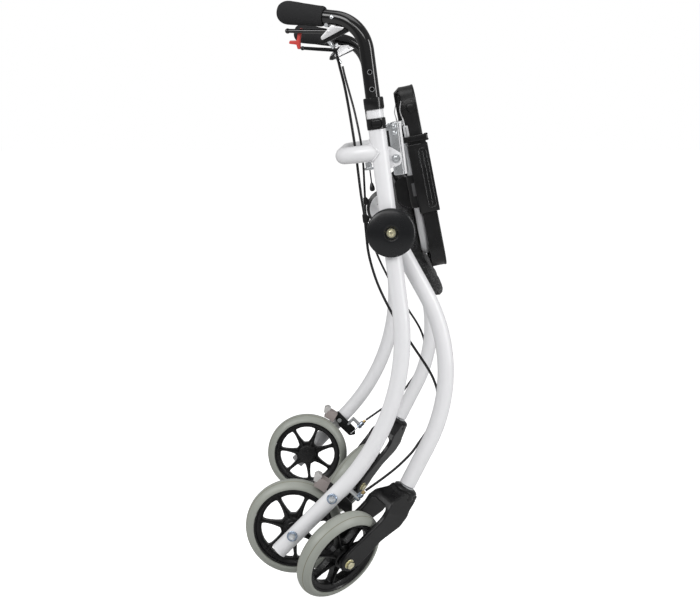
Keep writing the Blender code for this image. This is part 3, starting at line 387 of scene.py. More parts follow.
def oval(half_x, half_z, middle):
    """Rounded oblong about a height."""
    corners = [(-half_x, middle - half_z), (half_x, middle - half_z), (half_x, middle + half_z),
               (-half_x, middle + half_z)]
    return rounded(corners, half_z, 8)


def block(low, high, edge=0.8):
    """Block between two corners with its edges eased."""
    corners = [(low[0], low[2]), (high[0], low[2]), (high[0], high[2]), (low[0], high[2])]
    return plate(rounded(corners, edge * 1.5, 3), low[1], high[1], edge)


def span(side, inner, outer):
    """Two distances from the mid-plane as the low and the high Y on one side."""
    return sorted((side * inner, side * outer))


def side_block(side, low, high, edge):
    """Block whose second measures are distances from the mid-plane."""
    near, far = span(side, low[1], high[1])
    return block((low[0], near, low[2]), (high[0], far, high[2]), edge)


def moved(mesh, matrix):
    """Copy of a shape, moved; the matrix is in millimetres, and a mirrored copy is turned right side out."""
    copy = mesh.copy()
    copy.transform(matrix)
    if matrix.determinant() < 0:
        copy.flip_normals()
    return copy


def place_mm(x=0.0, y=0.0, z=0.0):
    return Matrix.Translation((x, y, z))


print("the outline of an oval has", len(oval(8, 5, 0)), "points")

# %% [markdown]
# ## Tubes, rows and rings by Geometry Nodes
# The frame is bent tube, and screws, spokes, holes and stitches repeat along a line or around a centre.
# Three small trees do this once for the whole object: a tube drawn along a path, copies that step and turn,
# and beads strung along a path. Each has named inputs, and its result becomes a plain mesh.

# %% Tree: tube along a path
def tube_tree():
    """Round tube with closed ends along a path of edges; the point attribute girth scales its radius."""
    tree, given, out = new_tree(
        "tube_along_path", "GeometryNodeTree",
        [("Geometry", "Geometry", None), ("Radius", "Float", 1.0), ("Sides", "Int", 32),
         ("Finish", "Material", None)],
        [("Geometry", "Geometry")])
    girth = add(tree, "GeometryNodeInputNamedAttribute", {"Name": "girth"}, data_type="FLOAT")
    line = add(tree, "GeometryNodeMeshToCurve", {0: given["Geometry"]})
    line = add(tree, "GeometryNodeSetCurveRadius",
               {"Curve": line.outputs[0], "Radius": girth.outputs["Attribute"]})
    ring = add(tree, "GeometryNodeCurvePrimitiveCircle",
               {"Resolution": given["Sides"], "Radius": given["Radius"]})
    skin = add(tree, "GeometryNodeCurveToMesh", {"Curve": line.outputs[0], "Profile Curve": ring.outputs[0],
                                                 "Fill Caps": True})
    if "Scale" in skin.inputs:
        tree.links.new(girth.outputs["Attribute"], skin.inputs["Scale"])
    real = add(tree, "GeometryNodeRealizeInstances", {0: skin.outputs[0]})
    done = add(tree, "GeometryNodeSetMaterial", {"Geometry": real.outputs[0], "Material": given["Finish"]})
    tree.links.new(done.outputs[0], out.inputs[0])
    return tree


TUBE = tube_tree()
print(TUBE.name, "has", len(TUBE.nodes), "nodes")

# %% Tree: copies that step and turn
def repeat_tree():
    """Copies of a shape, each moved by Step and turned about Z by Angle from the last."""
    tree, given, out = new_tree(
        "repeated_shape", "GeometryNodeTree",
        [("Geometry", "Geometry", None), ("Count", "Int", 6), ("Step", "Vector", (0, 0, 0)),
         ("Angle", "Float", 0.0), ("Finish", "Material", None)], [("Geometry", "Geometry")])
    single = add(tree, "GeometryNodeGeometryToInstance", {0: given["Geometry"]})
    copies = add(tree, "GeometryNodeDuplicateElements",
                 {"Geometry": single.outputs[0], "Amount": given["Count"]}, domain="INSTANCE")
    index = copies.outputs["Duplicate Index"]
    way = add(tree, "ShaderNodeVectorMath", {0: given["Step"], "Scale": index}, operation="SCALE")
    angle = add(tree, "ShaderNodeMath", {0: given["Angle"], 1: index}, operation="MULTIPLY")
    spin = add(tree, "ShaderNodeCombineXYZ", {"Z": angle.outputs[0]})
    turned_on = add(tree, "GeometryNodeRotateInstances", {"Instances": copies.outputs[0],
                                                          "Rotation": spin.outputs[0], "Local Space": False})
    stepped = add(tree, "GeometryNodeTranslateInstances",
                  {"Instances": turned_on.outputs[0], "Translation": way.outputs[0], "Local Space": False})
    real = add(tree, "GeometryNodeRealizeInstances", {0: stepped.outputs[0]})
    done = add(tree, "GeometryNodeSetMaterial", {"Geometry": real.outputs[0], "Material": given["Finish"]})
    tree.links.new(done.outputs[0], out.inputs[0])
    return tree


REPEAT = repeat_tree()
print(REPEAT.name, "has", len(REPEAT.nodes), "nodes")

# %% Tree: beads along a path
def bead_tree():
    """Small beads strung along a path, for stitches and the ripples of a weld."""
    tree, given, out = new_tree(
        "beads_along_path", "GeometryNodeTree",
        [("Geometry", "Geometry", None), ("Pitch", "Float", 3.0), ("Size", "Vector", (1.2, 0.4, 0.4)),
         ("Finish", "Material", None)], [("Geometry", "Geometry")])
    line = add(tree, "GeometryNodeMeshToCurve", {0: given["Geometry"]})
    spaced = add(tree, "GeometryNodeResampleCurve", {"Curve": line.outputs[0], "Length": given["Pitch"]},
                 mode="LENGTH")
    bead = add(tree, "GeometryNodeMeshIcoSphere", {"Radius": 1.0, "Subdivisions": 2})
    along = add(tree, "GeometryNodeInputTangent")
    aim = add(tree, "FunctionNodeAlignRotationToVector", {"Vector": along.outputs[0]}, axis="X")
    strung = add(tree, "GeometryNodeInstanceOnPoints",
                 {"Points": spaced.outputs[0], "Instance": bead.outputs[0], "Rotation": aim.outputs[0],
                  "Scale": given["Size"]})
    real = add(tree, "GeometryNodeRealizeInstances", {0: strung.outputs[0]})
    done = add(tree, "GeometryNodeSetMaterial", {"Geometry": real.outputs[0], "Material": given["Finish"]})
    tree.links.new(done.outputs[0], out.inputs[0])
    return tree


BEADS = bead_tree()
print(BEADS.name, "has", len(BEADS.nodes), "nodes")

# %% Grow a plain mesh from a tree
def evaluated(obj):
    """Plain mesh of an object with its modifiers, and the object removed."""
    bpy.context.view_layer.update()
    graph = bpy.context.evaluated_depsgraph_get()
    mesh = bpy.data.meshes.new_from_object(obj.evaluated_get(graph))
    bpy.data.objects.remove(obj, do_unlink=True)
    return mesh


def on_bench(mesh):
    """Object that holds a mesh while modifiers work on it."""
    obj = bpy.data.objects.new("bench", mesh)
    bpy.context.scene.collection.objects.link(obj)
    return obj


def grow(tree, mesh, **sizes):
    """Run a tree on a mesh; sizes name the tree's inputs."""
    obj = on_bench(mesh)
    modifier = obj.modifiers.new("grow", "NODES")
    modifier.node_group = tree
    for item in tree.interface.items_tree:
        key = item.name.lower()
        if item.in_out == "INPUT" and key in sizes:
            modifier[item.identifier] = sizes[key]
    return evaluated(obj)


def line_mesh(points, girth=None):
    """Edges along points, with each point's share of the full radius."""
    bm = bmesh.new()
    verts = [bm.verts.new(p) for p in points]
    for a, b in zip(verts, verts[1:]):
        bm.edges.new((a, b))
    mesh = mesh_of(bm)
    layer = mesh.attributes.new("girth", "FLOAT", "POINT")
    layer.data.foreach_set("value", list(girth or [1.0] * len(points)))
    return mesh


def tube(points, radius, sides=40, girth=None):
    """Closed tube along points, by the tube tree."""
    mesh = grow(TUBE, line_mesh(points, girth), radius=float(radius), sides=sides)
    bm = bmesh.new()
    bm.from_mesh(mesh)
    bmesh.ops.remove_doubles(bm, verts=bm.verts, dist=1e-4)
    bmesh.ops.recalc_face_normals(bm, faces=bm.faces)
    return mesh_of(bm)


def repeated(mesh, count, step=(0, 0, 0), angle=0.0):
    return grow(REPEAT, mesh, count=count, step=step, angle=math.radians(angle))


def beads(points, pitch, size):
    return grow(BEADS, line_mesh(points), pitch=float(pitch), size=size)


print("plain shapes so far:", len(bpy.data.meshes))

# %% Cut one shape with others
def carved(mesh, *cutters):
    """Shape with cutters taken away."""
    obj = on_bench(mesh)
    holders = []
    for cutter in cutters:
        tool = on_bench(cutter)
        holders.append(tool)
        modifier = obj.modifiers.new("carve", "BOOLEAN")
        modifier.operation, modifier.solver, modifier.object = "DIFFERENCE", "EXACT", tool
    made = evaluated(obj)
    for tool in holders:
        bpy.data.objects.remove(tool, do_unlink=True)
    return made


print("a shape is cut by a Boolean modifier for each cutter")

# %% Put a finished piece in place
def piece(name, place, body, look, shapes, stands_for=(), crease=35):
    """Join shapes into one object, put it in place in metres, and hang it on its body."""
    bm = bmesh.new()
    for shape in shapes:
        bm.from_mesh(shape)
    mesh = bpy.data.meshes.new(name)
    bm.to_mesh(mesh)
    bm.free()
    mesh.transform(place @ MM)
    mesh.shade_smooth()
    mesh.set_sharp_from_angle(angle=math.radians(crease))
    mesh.materials.clear()
    mesh.materials.append(look)
    mesh.polygons.foreach_set("material_index", [0] * len(mesh.polygons))
    obj = bpy.data.objects.new(name, mesh)
    bpy.context.scene.collection.objects.link(obj)
    if body:
        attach(obj, body)
    if stands_for:
        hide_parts(*stands_for)
    return obj


print("pieces are made in millimetres and scaled by", MM[0][0])

# %% [markdown]
# ## Brake cables
# Each brake has a steel wire in a black plastic housing, about 4 mm thick, that runs from the lever's
# ferrule down past the hub to the barrel adjuster on the rear leg, with the slack that folding needs. The
# route repeats the imported model's.

# %% Brake cables
# Along the cable: x on the right and on the left, z, then the distance from the mid-plane on each side
CABLE_ROUTE = (
    (-80.5, -80.5, 261.0, 233.0, 233.0), (-75.5, -75.5, 240.0, 231.0, 231.0),
    (-68.5, -67.5, 212.0, 227.0, 227.0), (-61.5, -57.5, 175.0, 219.0, 219.0),
    (-53.5, -47.0, 125.0, 208.0, 208.0), (-48.5, -42.5, 85.0, 206.0, 206.0),
    (-44.0, -40.5, 50.0, 205.5, 209.0), (-39.0, -39.0, 20.0, 205.0, 214.0),
    (-36.5, -38.0, -5.0, 204.5, 217.0), (-33.0, -33.0, -35.0, 204.0, 219.0),
    (-25.5, -23.5, -64.0, 204.0, 220.0), (-15.5, -13.0, -91.0, 203.5, 221.0),
    (0.8, 3.0, -124.0, 203.0, 223.0), (17.5, 19.0, -152.0, 203.0, 227.0),
    (39.0, 39.5, -184.0, 203.0, 232.5), (60.0, 60.0, -216.0, 203.0, 236.5),
    (69.5, 69.5, -236.0, 203.0, 237.0), (73.5, 73.5, -252.0, 203.0, 237.0),
    (71.5, 71.5, -272.0, 203.0, 237.0), (66.5, 66.5, -293.0, 203.0, 237.0),
    (56.5, 56.5, -314.0, 203.0, 236.5), (45.5, 45.5, -330.0, 204.0, 236.0),
    (34.0, 34.0, -345.0, 209.0, 234.0), (12.5, 12.5, -365.0, 216.0, 231.0),
    (-11.5, -11.5, -382.5, 223.0, 228.0), (-36.5, -36.5, -400.0, 226.5, 226.5),
)
FINE_STEPS = 16
CABLE_POINTS, CABLE_RADIUS, CABLE_SIDES = 96, 2.0, 16


def smooth_route(points, count):
    """Points spaced evenly along a smooth curve through a given route."""
    laid = [Vector(p) for p in points]
    laid = [2 * laid[0] - laid[1]] + laid + [2 * laid[-1] - laid[-2]]
    fine = []
    for a, b, c, d in zip(laid, laid[1:], laid[2:], laid[3:]):
        for i in range(FINE_STEPS):
            t = i / FINE_STEPS
            fine.append(0.5 * (2 * b + (c - a) * t + (2 * a - 5 * b + 4 * c - d) * t ** 2
                               + (3 * b - a - 3 * c + d) * t ** 3))
    fine.append(laid[-2])
    lengths = [0.0]
    for a, b in zip(fine, fine[1:]):
        lengths.append(lengths[-1] + (b - a).length)
    spaced = []
    k = 0
    for i in range(count):
        goal = lengths[-1] * i / (count - 1)
        while k < len(fine) - 2 and lengths[k + 1] < goal:
            k += 1
        spaced.append(fine[k].lerp(fine[k + 1], (goal - lengths[k]) / (lengths[k + 1] - lengths[k])))
    return spaced


def brake_cable(word, side):
    first = 0 if side < 0 else 1
    route = [(row[first], side * row[first + 3], row[2]) for row in CABLE_ROUTE]
    line = smooth_route(route, CABLE_POINTS)
    length = sum((b - a).length for a, b in zip(line, line[1:])) / 1000
    housing = tube(line, CABLE_RADIUS, CABLE_SIDES)
    obj = piece(f"cable_housing_{word}", HUB, None, CABLE_JACKET, [housing],
                [f"brake_cable_{word}"])
    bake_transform(obj)
    return length


for word, side in SIDES:
    print(word, "brake cable is", round(brake_cable(word, side) * 1000), "mm long")

# %% [markdown]
# ## Side tubes
# Each side of the frame is one 25 mm steel tube, bent once and powder coated white: the upper part takes the
# handle, the lower part is the rear leg. It could be lofted by hand, but a path and a radius say all there
# is. A gusset for the tray bolt is welded inside it, and a push-in cap closes its lower end.

# %% Path of a bent tube
def walk(start, heading, legs, step=2.5):
    """Points of a bent tube in a plane: a leg is a straight length, a bend radius and a turn in degrees."""
    point = Vector(start)
    angle = math.radians(heading)
    points = [point.copy()]
    for length, radius, bend in legs:
        point = point + length * Vector((math.cos(angle), math.sin(angle)))
        points.append(point.copy())
        if not bend:
            continue
        way = math.copysign(1, bend)
        centre = point + way * radius * Vector((-math.sin(angle), math.cos(angle)))
        count = max(2, round(abs(bend) / step))
        for i in range(1, count + 1):
            now = angle + math.radians(bend) * i / count
            points.append(centre + way * radius * Vector((math.sin(now), -math.cos(now))))
        angle += math.radians(bend)
        point = points[-1].copy()
    return points


def in_plane(points, y):
    return [(p[0], y, p[1]) for p in points]


def length_of(points):
    return round(sum((b - a).length for a, b in zip(points, points[1:])))


TUBE_RADIUS, TUBE_SIDES = 12.5, 56
UPRIGHT_TOP = 194
LEAN = math.radians(UPRIGHT_LEAN)
SIDE_START = (-UPRIGHT_BACK - UPRIGHT_TOP * math.sin(LEAN), UPRIGHT_TOP * math.cos(LEAN))
SIDE_PATH = walk(SIDE_START, UPRIGHT_LEAN - 90, ((311.3, 335, -51.8), (131.6, 0, 0)))
GUSSET = rounded([(8, 90), (29.5, 96), (30, 112), (8, 129)], 7, 6)
END_CAP = [(0, 1.0), (8.5, 0.9), (10.8, 0.2), (11.3, -0.8), (11.3, -6.0), (0, -6.0)]
BUTTON_Z = 158.5
print("side tube is", length_of(SIDE_PATH), "mm long")


def button_opening(side):
    """Cutter for the oval hole of the height button."""
    return plate(oval(7.7, 5.5, BUTTON_Z), *span(side, 257.0, 268.0), 0)

# %% Side tubes, gussets and end caps
for word, side in SIDES:
    line = in_plane(SIDE_PATH, side * UPRIGHT_Y)
    end, before = Vector(line[-1]), Vector(line[-2])
    along = (end - before).normalized()
    hole = moved(button_opening(side), place_mm(-UPRIGHT_BACK) @ turn(-UPRIGHT_LEAN, "Y"))
    skin = carved(tube(line, TUBE_RADIUS, TUBE_SIDES), hole)
    piece(f"upright_and_rear_leg_{word}", HUB, "frame", WHITE_ENAMEL, [skin],
          [f"side_tube_{word}"])
    weld_line = [(9.2, side * 241.0, z) for z in (90.5, 103, 116, 128.5)]
    welded = [plate(GUSSET, *span(side, 239.0, 243.0), 0.5), beads(weld_line, 1.6, (1.3, 1.9, 1.2))]
    piece(f"tray_gusset_{word}", UPRIGHT, "frame", WHITE_ENAMEL, welded)
    piece(f"rear_leg_cap_{word}", HUB, "frame", PALE_ALLOY, [turned(END_CAP, end, along, 40)])
print("side tubes with their gussets and end caps")

# %% [markdown]
# ## Cross bow
# A white tube bent twice joins the uprights above the hub and reaches behind them, so the folded frame is
# carried by it. Its ends are cut to the uprights' curve and welded, and the ripples of the weld are beads
# along that saddle curve.

# %% Cross bow and its welds
BOW_Z = 118
BOW_PATH = walk((-2, -UPRIGHT_Y), 180, ((7, 45, -90), (410, 45, -90), (7, 0, 0)), step=4)
WELD_RADIUS, WELD_REACH, WELD_STEPS = 13.1, 13.2, 48


def saddle(side):
    """Curve where the bow's skin meets the upright's."""
    points = []
    for k in range(WELD_STEPS + 1):
        angle = math.tau * k / WELD_STEPS
        across = WELD_RADIUS * math.cos(angle)
        behind = -math.sqrt(WELD_REACH ** 2 - across ** 2) - 0.2
        points.append((behind, side * UPRIGHT_Y + across, BOW_Z + WELD_RADIUS * math.sin(angle)))
    return points


bow = tube([(x, y, BOW_Z) for x, y in BOW_PATH], TUBE_RADIUS, TUBE_SIDES)
piece("cross_bow_tube", UPRIGHT, "frame", WHITE_ENAMEL, [bow], ["cross_bow"])
for word, side in SIDES:
    ripples = beads(saddle(side), 1.5, (1.2, 1.1, 1.1))
    piece(f"bow_weld_{word}", UPRIGHT, "frame", WHITE_ENAMEL, [ripples])
print("cross bow is", length_of(BOW_PATH), "mm long")

# %% [markdown]
# ## Front legs
# The front legs turn about the hub and curve forward and back again to the casters. Each carries a flat disc
# that runs against the side tube, and a black cap closes its upper end. The disc's edge shows under the hub
# cover.

# %% Front legs with their discs
LEG_TURN, LEG_TOP = 29.2, 16
LEG_LEAN = math.radians(LEG_TURN)
LEG_START = (-LEG_TOP * math.sin(LEG_LEAN), LEG_TOP * math.cos(LEG_LEAN))
LEG_PATH = walk(LEG_START, LEG_TURN - 90, ((124.2, 252, -55.6), (69.0, 0, 0)))
LEG_DISC = [(0, -3), (28.8, -3), (30, -2), (30, 3.2), (29, 4), (0, 4)]

for word, side in SIDES:
    leg_line = in_plane(LEG_PATH, side * LEG_Y)
    skin = tube(leg_line, TUBE_RADIUS, TUBE_SIDES)
    disc = turned(LEG_DISC, (0, side * 233, 0), (0, side, 0), 64)
    piece(f"leg_tube_{word}", HUB, "front_legs", WHITE_ENAMEL, [skin, disc],
          [f"front_leg_{word}"])
    top, second = Vector(leg_line[0]), Vector(leg_line[1])
    cap = turned(END_CAP, top, top - second, 40)
    piece(f"leg_top_cap_{word}", HUB, "front_legs", MOULDED_BLACK, [cap])
print("front leg is", length_of(LEG_PATH), "mm long")

# %% [markdown]
# ## Hub
# A bolt through each side joins the two tubes. Outside it is hidden by a black disc, turned slightly
# crowned, so that a tall lamp shows on it as one soft upright band. The bolt's yellow zinc head sits in a
# recess at its middle.

# %% Bolts with hexagon heads
def hex_head(radius, thick, washer=None, crown=0.5):
    """Hexagon head with chamfered corners, seated at height 0, on a washer of the given radius."""
    corners = [(radius * math.cos(math.radians(60 * k)), radius * math.sin(math.radians(60 * k)))
               for k in range(6)]
    lift = 1.0 if washer else 0.0
    shapes = [plate(corners, lift, lift + thick, min(0.55, thick * 0.2), axis="Z")]
    dimple = [(0, lift + thick - 0.1), (radius * 0.38, lift + thick - 0.1),
              (radius * 0.44, lift + thick + crown * 0.6), (radius * 0.66, lift + thick + crown * 0.5),
              (radius * 0.8, lift + thick - 0.3), (0, lift + thick - 1.0)]
    shapes.append(turned(dimple, steps=32))
    if washer:
        flat = [(0, 0), (washer - 0.3, 0), (washer, 0.3), (washer, 0.8), (washer - 0.3, 1.1), (0, 1.1)]
        shapes.append(turned(flat, steps=40))
    return shapes


def aimed(shapes, start, toward):
    """Shapes made on Z, moved to start and turned toward a direction."""
    aim = Vector(toward).to_track_quat("Z", "Y").to_matrix().to_4x4()
    return [moved(s, place_mm(*start) @ aim) for s in shapes]


def shank(radius, start, end):
    start, end = Vector(start), Vector(end)
    length = (end - start).length
    return turned([(0, 0), (radius, 0), (radius, length), (0, length)], start, end - start, 24)


print("bolts have hexagon heads, with a washer under some")

# %% Hub covers, bolts and cross tube
HUB_COVER = [(10.2, 274.6), (10.6, 275.0), (14, 274.8), (18, 274.35), (22, 273.75), (26, 272.95),
             (30, 271.95), (33.5, 270.9), (35.3, 270.0), (36, 268.6), (36, 264.9), (35.4, 264.3),
             (4.3, 264.3), (4.3, 270.5), (8.4, 270.5), (9.6, 271.2)]
CROSS_TUBE = [(0, -207.2), (11.5, -207.2), (12, -206.6), (12, -196), (14, -195.4), (14, 195.4), (12, 196),
              (12, 206.6), (11.5, 207.2), (0, 207.2)]

for word, side in SIDES:
    cover = turned(HUB_COVER, (0, 0, 0), (0, side, 0), 96)
    piece(f"hub_disc_{word}", HUB, "frame", COVER_BLACK, [cover], [f"hub_cover_{word}"],
          crease=50)
    head = aimed(hex_head(5.2, 3.2, 7.0), (0, side * 270.7, 0), (0, side, 0))
    pin = shank(4.0, (0, side * 208, 0), (0, side * 271, 0))
    piece(f"hub_pivot_bolt_{word}", HUB, "frame", YELLOW_ZINC, [*head, pin],
          [f"hub_bolt_{word}"])
axle_tube = turned(CROSS_TUBE, (0, 0, 0), (0, 1, 0), 56)
piece("hub_axle_tube", HUB, "front_legs", MOULDED_BLACK, [axle_tube], ["hub_cross_tube"])
print("hub cover is", 2 * max(radius for radius, height in HUB_COVER), "mm across")

# %% [markdown]
# ## Height collar, band and button
# A black guide bush with a lip sits on each upright's mouth, and a band below it holds a sprung oval button.
# Pressing the button frees the handle tube, whose holes step 24.5 mm apart.

# %% Collars and buttons
BUSH = [(11.0, 196.4), (13.2, 196.4), (14.4, 195.6), (14.6, 194.2), (14.6, 181.6), (14.1, 180.6),
        (13.9, 179.0), (12.8, 179.0), (12.8, 194.3), (11.0, 194.3)]
BAND = [(14.0, 166.0), (13.6, 166.5), (12.8, 166.5), (12.8, 150.6), (13.6, 150.6), (14.0, 151.1),
        (14.1, 158.0)]

for word, side in SIDES:
    y = side * UPRIGHT_Y
    bush = turned(BUSH, (0, y, 0), (0, 0, 1), 64)
    band = carved(turned(BAND, (0, y, 0), (0, 0, 1), 64), button_opening(side))
    strip = block((-14.1, y - 2.2, 163.5), (-12.9, y + 2.2, 182), 0.5)
    low, high = span(side, 262.4, 264.6)
    bezel = carved(plate(oval(9.2, 7.0, BUTTON_Z), low, high, 0.6),
                   plate(oval(7.7, 5.5, BUTTON_Z), low - 3, high + 3, 0))
    piece(f"tube_collar_{word}", UPRIGHT, "frame", CLIP_BLACK, [bush, band, strip, bezel],
          [f"height_collar_{word}"])
    cap = plate(oval(7.2, 5.0, BUTTON_Z), *span(side, 263.2, 267.0), 0.9)
    stem = shank(3.4, (0, side * 263.1, BUTTON_Z), (0, side * 265, BUTTON_Z))
    piece(f"button_cap_{word}", UPRIGHT, f"height_button_{word}", GLOSS_BLACK, [cap, stem],
          [f"height_button_{word}"])
print("collars and buttons on both sides")

# %% [markdown]
# ## Handle tubes
# The handle tube slides in the upright and bends back to the grip, 21 mm across and gloss black. Six holes
# in its outer side step down to the height button. They are cut with a row of cutters, and a thin zinc
# eyelet lines each.

# %% Handle tubes with their row of holes
GRIP_RISE, GRIP_CORNER_Z = math.radians(14.5), 306
BEND, BEND_RADIUS = 75.5, 55
TANGENT = BEND_RADIUS * math.tan(math.radians(BEND / 2))
HANDLE_FOOT, HANDLE_RADIUS = 62, 10.5
HANDLE_LEGS = ((GRIP_CORNER_Z - TANGENT - HANDLE_FOOT, BEND_RADIUS, BEND), (119 - TANGENT, 0, 0))
HANDLE_PATH = walk((0, HANDLE_FOOT), 90, HANDLE_LEGS, step=3)
HOLE_COUNT, HOLE_DOWN, HOLE_RADIUS, TOP_HOLE_Z = 6, 24.5, 3.75, 232.5
EYELET = [(3.0, 10.9), (3.5, 10.9), (3.75, 10.5), (3.75, 8.6), (3.0, 8.6)]


def along_grip(distance):
    """Point on the grip's axis, at a distance from where the handle's two straights meet."""
    return Vector((-distance * math.cos(GRIP_RISE), 0, GRIP_CORNER_Z + distance * math.sin(GRIP_RISE)))


for word, side in SIDES:
    skin = tube(in_plane(HANDLE_PATH, 0), HANDLE_RADIUS, TUBE_SIDES)
    out = turn(-side * HANDLE_TOE_IN, "Z") @ Vector((0, side, 0))
    drill = turned([(0, 0), (HOLE_RADIUS, 0), (HOLE_RADIUS, 16), (0, 16)],
                   out * 4 + Vector((0, 0, TOP_HOLE_Z)), out, 24)
    bore = turned([(0, 50), (8.6, 50), (8.6, 243), (0, 243)], steps=32)
    row = repeated(drill, HOLE_COUNT, step=(0, 0, -HOLE_DOWN))
    bent = carved(skin, bore, row)
    piece(f"handle_bar_{word}", HANDLE[word], f"handle_{word}", GLOSS_BLACK, [bent],
          [f"handle_tube_{word}"])
    eyelets = repeated(turned(EYELET, (0, 0, TOP_HOLE_Z), out, 24), HOLE_COUNT, step=(0, 0, -HOLE_DOWN))
    bolt = turned([(0, 2.4), (1.6, 2.2), (2.9, 1.1), (3.2, 0), (3.2, -1.5), (0, -1.5)],
                  (-43.7, side * 10.2, 317.9), (0, side, 0), 28)
    piece(f"handle_eyelets_{word}", HANDLE[word], f"handle_{word}", BRIGHT_ZINC, [eyelets, bolt])
print(HOLE_COUNT, "holes,", HOLE_DOWN, "mm apart")

# %% [markdown]
# ## Foam grips
# Each grip is a sleeve of closed-cell foam, thicker towards a blunt rounded end, with a chamfer at its
# front. A turned form would be too even, so its wall is pressed in and out a little by noise with a fixed
# field.

# %% Foam grips
GRIP_START = 60


def grip_profile():
    points = [(10.8, 0.3), (12.4, 0.0), (13.9, 0.8), (14.9, 3.2), (15.1, 8)]
    points += [(15.1 + 2.3 * (t / 12) ** 1.2, 8 + 48 * t / 12) for t in range(1, 13)]
    for k in range(1, 13):
        angle = math.radians(90 - 7.5 * k)
        points.append((17.4 * math.sin(angle) ** 0.8 if k < 12 else 0, 56 + 18 * math.cos(angle) ** 0.9))
    return points + [(0, 58), (10.8, 58)]


for word, side in SIDES:
    start = along_grip(GRIP_START)
    foam = turned(grip_profile(), start, along_grip(138) - start, 72)
    bm = bmesh.new()
    bm.from_mesh(foam)
    bmesh.ops.subdivide_edges(bm, edges=[e for e in bm.edges if e.calc_length() > 4], cuts=1,
                              use_grid_fill=True)
    axis = (along_grip(138) - start).normalized()
    for vert in bm.verts:
        from_axis = vert.co - start - axis * (vert.co - start).dot(axis)
        if from_axis.length > 12.5:
            press = noise.noise(vert.co * 0.07 + Vector((side * 9, 0, 0))) * 0.35
            vert.co += from_axis.normalized() * (press - 0.2)
    obj = piece(f"foam_grip_{word}", HANDLE[word], f"handle_{word}", FOAM, [mesh_of(bm)],
                [f"grip_{word}"], 60)
grip_length = round(max(height for radius, height in grip_profile()))
print("foam grips from", GRIP_START, "to", GRIP_START + grip_length, "mm along the handle")

# %% [markdown]
# ## Brake levers
# Under the bend a black arm carries two silver cheek plates, and the lever pivots between them on a pin. The
# lever is a thin black bar with a ball at its end, and the cable's bright ferrule enters the arm from
# below.

# %% Outlines of the lever's parts
LEVER_ARM = rounded([(-70, 283.5), (-64, 282.5), (-18, 296.5), (-23, 308), (-30, 303.5), (-68, 290)], 2.2, 4)
OUTER_CHEEK = rounded([(-48.0, 306.4), (-27.0, 300.6), (-31.0, 298.4), (-64.4, 287.8), (-65.8, 292.4)],
                      2.2, 5)
INNER_CHEEK = rounded([(-47.5, 306.6), (-33.0, 305.8), (-20.5, 300.4), (-25.0, 297.6), (-59.5, 285.4),
                       (-62.5, 290.0)], 2.2, 5)
LEVER_LINE = [(-52, 298.5), (-57, 299.6), (-64, 300.8), (-77, 302.9), (-90, 304.9), (-104, 307.3),
              (-117, 309.5)]
LEVER_GIRTH = [1.15, 1.1, 1.0, 1.0, 0.95, 0.92, 0.88]
FERRULE = [(0, 0), (3.0, 0), (3.3, 0.6), (3.5, 5.0), (3.1, 6.0), (3.1, 9.0), (2.8, 15.0), (2.3, 16.0),
           (0, 16.0)]
FERRULE_WAY = Vector((-50.0, 0, 274.5)) - Vector((-57.5, 0, 288.0))
BALL_RADIUS = 3.9
BALL = [(BALL_RADIUS * math.sin(math.radians(15 * k)), -BALL_RADIUS * math.cos(math.radians(15 * k)))
        for k in range(1, 12)]
PIVOT_X, PIVOT_Z = -52, 298.5
PIVOT = (PIVOT_X, 0, PIVOT_Z)
print("levers pivot at", (PIVOT_X, PIVOT_Z), "in the handle's frame")

# %% Bracket and cable ferrule
def lever_bracket(word):
    place, body = HANDLE[word], f"handle_{word}"
    eye = turned([(0, -10), (4.9, -10), (4.9, 10), (0, 10)], PIVOT, (0, 1, 0), 32)
    bore = tube(in_plane(HANDLE_PATH, 0), 10.8, 40)
    arm = carved(plate(LEVER_ARM, -4.5, 4.5, 0.8), bore, eye)
    piece(f"lever_arm_{word}", place, body, MOULDED_BLACK, [arm], [f"lever_bracket_{word}"])
    ferrule = turned(FERRULE, (-57.5, 0, 288.4), FERRULE_WAY, 32)
    knob = [(0, -6.5), (2.6, -6.5), (3.2, -5.9), (3.2, 5.9), (2.6, 6.5), (0, 6.5)]
    knob = turned(knob, (-55.1, 0, 308.4), (0, 1, 0), 28)
    piece(f"cable_ferrule_{word}", place, body, BRIGHT_ZINC, [ferrule, knob])


print("ferrule is", FERRULE[-1][1], "mm long")

# %% Cheek plates
def lever_cheeks(word, side):
    """Silver plates on both sides of the arm, with the lever's pin and a rivet."""
    outside = plate(OUTER_CHEEK, *span(side, 4.8, 6.8), 0.4)
    inside = plate(INNER_CHEEK, *span(-side, 4.8, 6.8), 0.4)
    rivet = turned([(0, 1.7), (1.4, 1.5), (2.6, 0.9), (3.0, 0), (0, 0)],
                   (-32.5, -side * 6.6, 301.5), (0, -side, 0), 28)
    pin = shank(2.0, (PIVOT_X, -6, PIVOT_Z), (PIVOT_X, 6, PIVOT_Z))
    dome = [(0, 0.9), (1.6, 0.8), (2.3, 0.5), (2.6, 0), (0, 0)]
    heads = [turned(dome, (PIVOT_X, face * 6.6, PIVOT_Z), (0, face, 0), 28) for face in (-1, 1)]
    piece(f"lever_cheek_plates_{word}", HANDLE[word], f"handle_{word}", PALE_ALLOY,
          [outside, inside, pin, rivet, *heads], [f"lever_cheeks_{word}"])


print("cheek plates have", len(OUTER_CHEEK), "and", len(INNER_CHEEK), "points")

